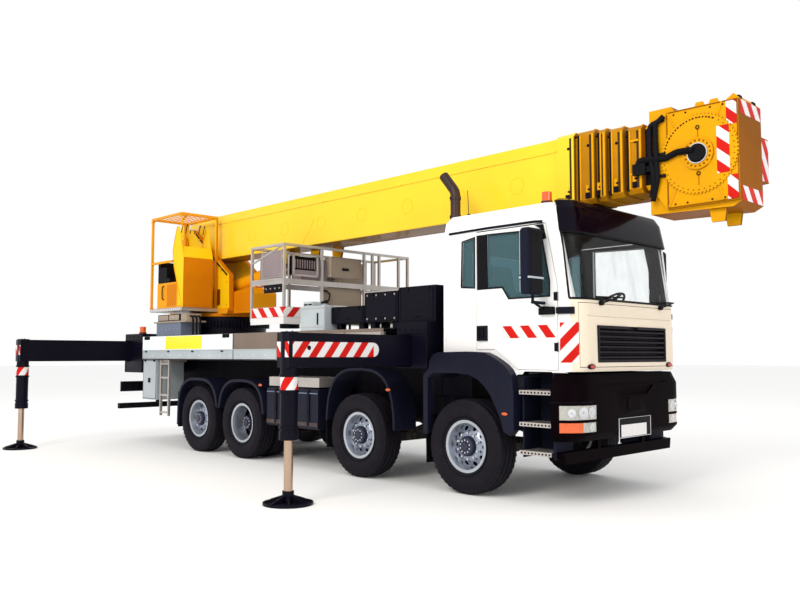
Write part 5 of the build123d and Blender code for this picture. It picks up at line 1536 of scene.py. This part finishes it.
def basket_near_panels(shape):
    """Control panel, dark bracket and coloured tags on the near side of the basket."""
    y = -1.140
    shape.box((-1.14, y, 2.715), (-0.65, -1.132, 3.105), "alloy_panel")
    shape.rim(rectangle(-1.14, -0.65, 2.715, 3.105), -1.143, 0.008, "alloy")
    shape.bolts([(x, y, z) for x in (-1.10, -0.69) for z in (2.76, 3.06)], RIGHTWARD, 0.008, "alloy")
    shape.box((-1.08, -1.148, 2.49), (-0.63, -1.118, 2.612), "rubber")
    shape.bolts([(-1.02 + 0.11 * k, -1.148, 2.55) for k in range(4)], RIGHTWARD, 0.012, "alloy")
    for k in range(4):
        x = -1.39 + 0.08 * k
        shape.box((x, -1.149, 2.60), (x + 0.05, -1.115, 2.665), "red" if k % 2 else "turret")


def basket_window(shape):
    """Framed dark window in the front of the basket, with a row of bars and a sill."""
    rear, front = BASKET_FRONT - 0.032, BASKET_FRONT - 0.004
    for z in (2.752, 3.055):
        shape.box((rear, -0.972, z - 0.012), (front, -0.512, z + 0.012), "alloy")
    for y in (-0.965, -0.519):
        shape.box((rear, y - 0.014, 2.752), (front, y + 0.014, 3.055), "alloy")
    x = BASKET_FRONT - 0.034
    shape.box((-0.72, -0.95, 2.765), (x, -0.53, 3.04), "interior")
    for k in range(9):
        y = -0.93 + 0.045 * k
        shape.box((x, y, 2.86), (x + 0.010, y + 0.015, 2.99), "alloy_panel")
    shape.box((x, -0.95, 2.765), (x + 0.006, -0.53, 2.835), "alloy_panel")


def basket_front(shape):
    """Hook, beige box with its rim and slot, and the panel below it on the front of the basket."""
    front = BASKET_FRONT
    hook = [
        (-0.02, -0.43, 2.54), (-0.01, -0.34, 2.55), (-0.01, -0.27, 2.50),
        (-0.01, -0.29, 2.40), (-0.01, -0.38, 2.385),
    ]
    shape.pipe([(front + x, y, z) for x, y, z in hook], 0.013, "rubber", 8)
    shape.box((-0.67, -0.26, 2.765), (front - 0.004, 0.36, 3.085), "beige_box")
    rim = [(front, y, z) for y, z in rectangle(-0.255, 0.355, 2.77, 3.08)]
    shape.pipe([*rim, rim[0]], 0.006, "beige_box", 6)
    shape.box((front - 0.006, -0.03, 2.88), (front + 0.006, 0.10, 2.92), "rubber")
    shape.box((front - 0.05, -0.26, 2.365), (front - 0.038, 0.385, 2.635), "beige_box")


def basket_bolts(shape):
    """Bolts on the front and near posts, and grip ribs on the floor of the basket."""
    levels = (2.30, 2.65, 3.196)
    across = (-1.131, -0.426, 0.439, 0.619, 0.769, 1.209, 1.421)
    shape.bolts([(BASKET_FRONT - 0.001, y, z) for y in across for z in levels], FORWARD, 0.008, "alloy")
    near = [(x, BASKET_NEAR + 0.001, z) for x in (-1.421, -0.599) for z in levels]
    shape.bolts(near, RIGHTWARD, 0.008, "alloy")
    for y in (-0.95, -0.2, 0.55, 1.2):
        for k in range(5):
            x = BASKET_REAR + 0.10 + 0.14 * k
            shape.box((x, y - 0.12, 2.1095), (x + 0.03, y + 0.12, 2.114), "alloy")


def basket_trim():
    shape = Shape()
    for part in (basket_sides, basket_near_panels, basket_window, basket_front, basket_bolts):
        part(shape)
    shape.build("basket_trim", "basket", "basket_alloy")


def basket_levers():
    """Levers and buttons on the basket's control boxes."""
    shape = Shape()
    for y in (-0.92, -0.82, -0.72):
        shape.pipe([(-1.32, y, 3.10), (-1.31, y, 3.15)], 0.008, "rubber", 6)
        knob(shape, (-1.308, y, 3.16), UP, 0.015, 0.014)
    for k in range(4):
        button = (-1.148, -0.32 + 0.11 * k, 2.95)
        shape.cap(button, FORWARD, 0.012, 0.02, 0.018, "bright" if k else "red", 16)
    shape.build("basket_levers", "basket", "basket_alloy")


for trim in (
    windscreen_trim, corner_stripes, marker_lamps, gutters, lamp_details, bumper_trim, step_edges, deck_trim,
    side_markers, tank_trim, cabinet_trim, tank_fittings, valve_box_trim, exhaust_trim, housing_trim, mud_flaps,
    rear_trim, underside, cab_extras, turret_trim, stand_trim, boom_marks, head_trim, jib_trim, basket_trim,
    basket_levers,
):
    trim()
for collar in COLLARS:
    collar_trim(*collar)
for hand, side in HANDS:
    door_trim(hand, side)
    for place in ("front", "rear"):
        beam_trim(place, hand, side)


# Floor, light and camera

def pale_floor():
    n = Nodes("pale_floor")
    n.set(Base_Color=n.mix(n.noise(0.6, 3.0), (0.90, 0.90, 0.90), (0.93, 0.93, 0.92)), Roughness=0.85)
    return n.material


def studio():
    """Pale floor, soft lights and an even pale surround."""
    reach = 120.0
    mesh = bpy.data.meshes.new("floor")
    mesh.from_pydata([(x, y, 0) for x, y in rectangle(-reach, reach, -reach, reach)], [], [(0, 1, 2, 3)])
    mesh.materials.append(pale_floor())
    floor = bpy.data.objects.new("floor", mesh)
    bpy.context.scene.collection.objects.link(floor)
    world = bpy.data.worlds.new("surround")
    world.use_nodes = True
    world.node_tree.nodes["Background"].inputs["Color"].default_value = (1.0, 1.0, 1.0, 1.0)
    world.node_tree.nodes["Background"].inputs["Strength"].default_value = 1.0
    bpy.context.scene.world = world
    lights = (
        # name, place, aim, size, watts, colour
        ("key", (5.0, -17.0, 12.0), (0.0, 0.0, 2.0), 9.0, 1900.0, (1.0, 0.94, 0.86)),
        ("front", (17.0, -3.0, 6.0), (3.0, 0.0, 2.0), 6.0, 350.0, (1.0, 0.97, 0.94)),
        ("back", (-14.0, 12.0, 11.0), (0.0, 0.0, 2.0), 8.0, 300.0, (1.0, 0.97, 0.94)),
    )
    for name, place, aim, size, watts, colour in lights:
        light = bpy.data.lights.new(name, "AREA")
        light.shape = "DISK"
        light.size = size
        light.energy = watts
        light.color = colour
        lamp = bpy.data.objects.new(name, light)
        lamp.location = place
        lamp.rotation_euler = (Vector(aim) - Vector(place)).to_track_quat("-Z", "Y").to_euler()
        bpy.context.scene.collection.objects.link(lamp)


def camera():
    """Camera of the photograph."""
    data = bpy.data.cameras.new("camera")
    data.lens = LENS_MM
    data.sensor_width = SENSOR_MM
    data.clip_end = 400.0
    eye = bpy.data.objects.new("camera", data)
    flat = math.cos(CAMERA_PITCH)
    way = Vector((-math.cos(CAMERA_YAW) * flat, math.sin(CAMERA_YAW) * flat, math.sin(CAMERA_PITCH)))
    eye.location = CAMERA_AT
    eye.rotation_euler = way.to_track_quat("-Z", "Y").to_euler()
    bpy.context.scene.collection.objects.link(eye)
    bpy.context.scene.camera = eye


studio()
camera()
bpy.context.scene.view_settings.view_transform = "Standard"
bpy.context.view_layer.update()
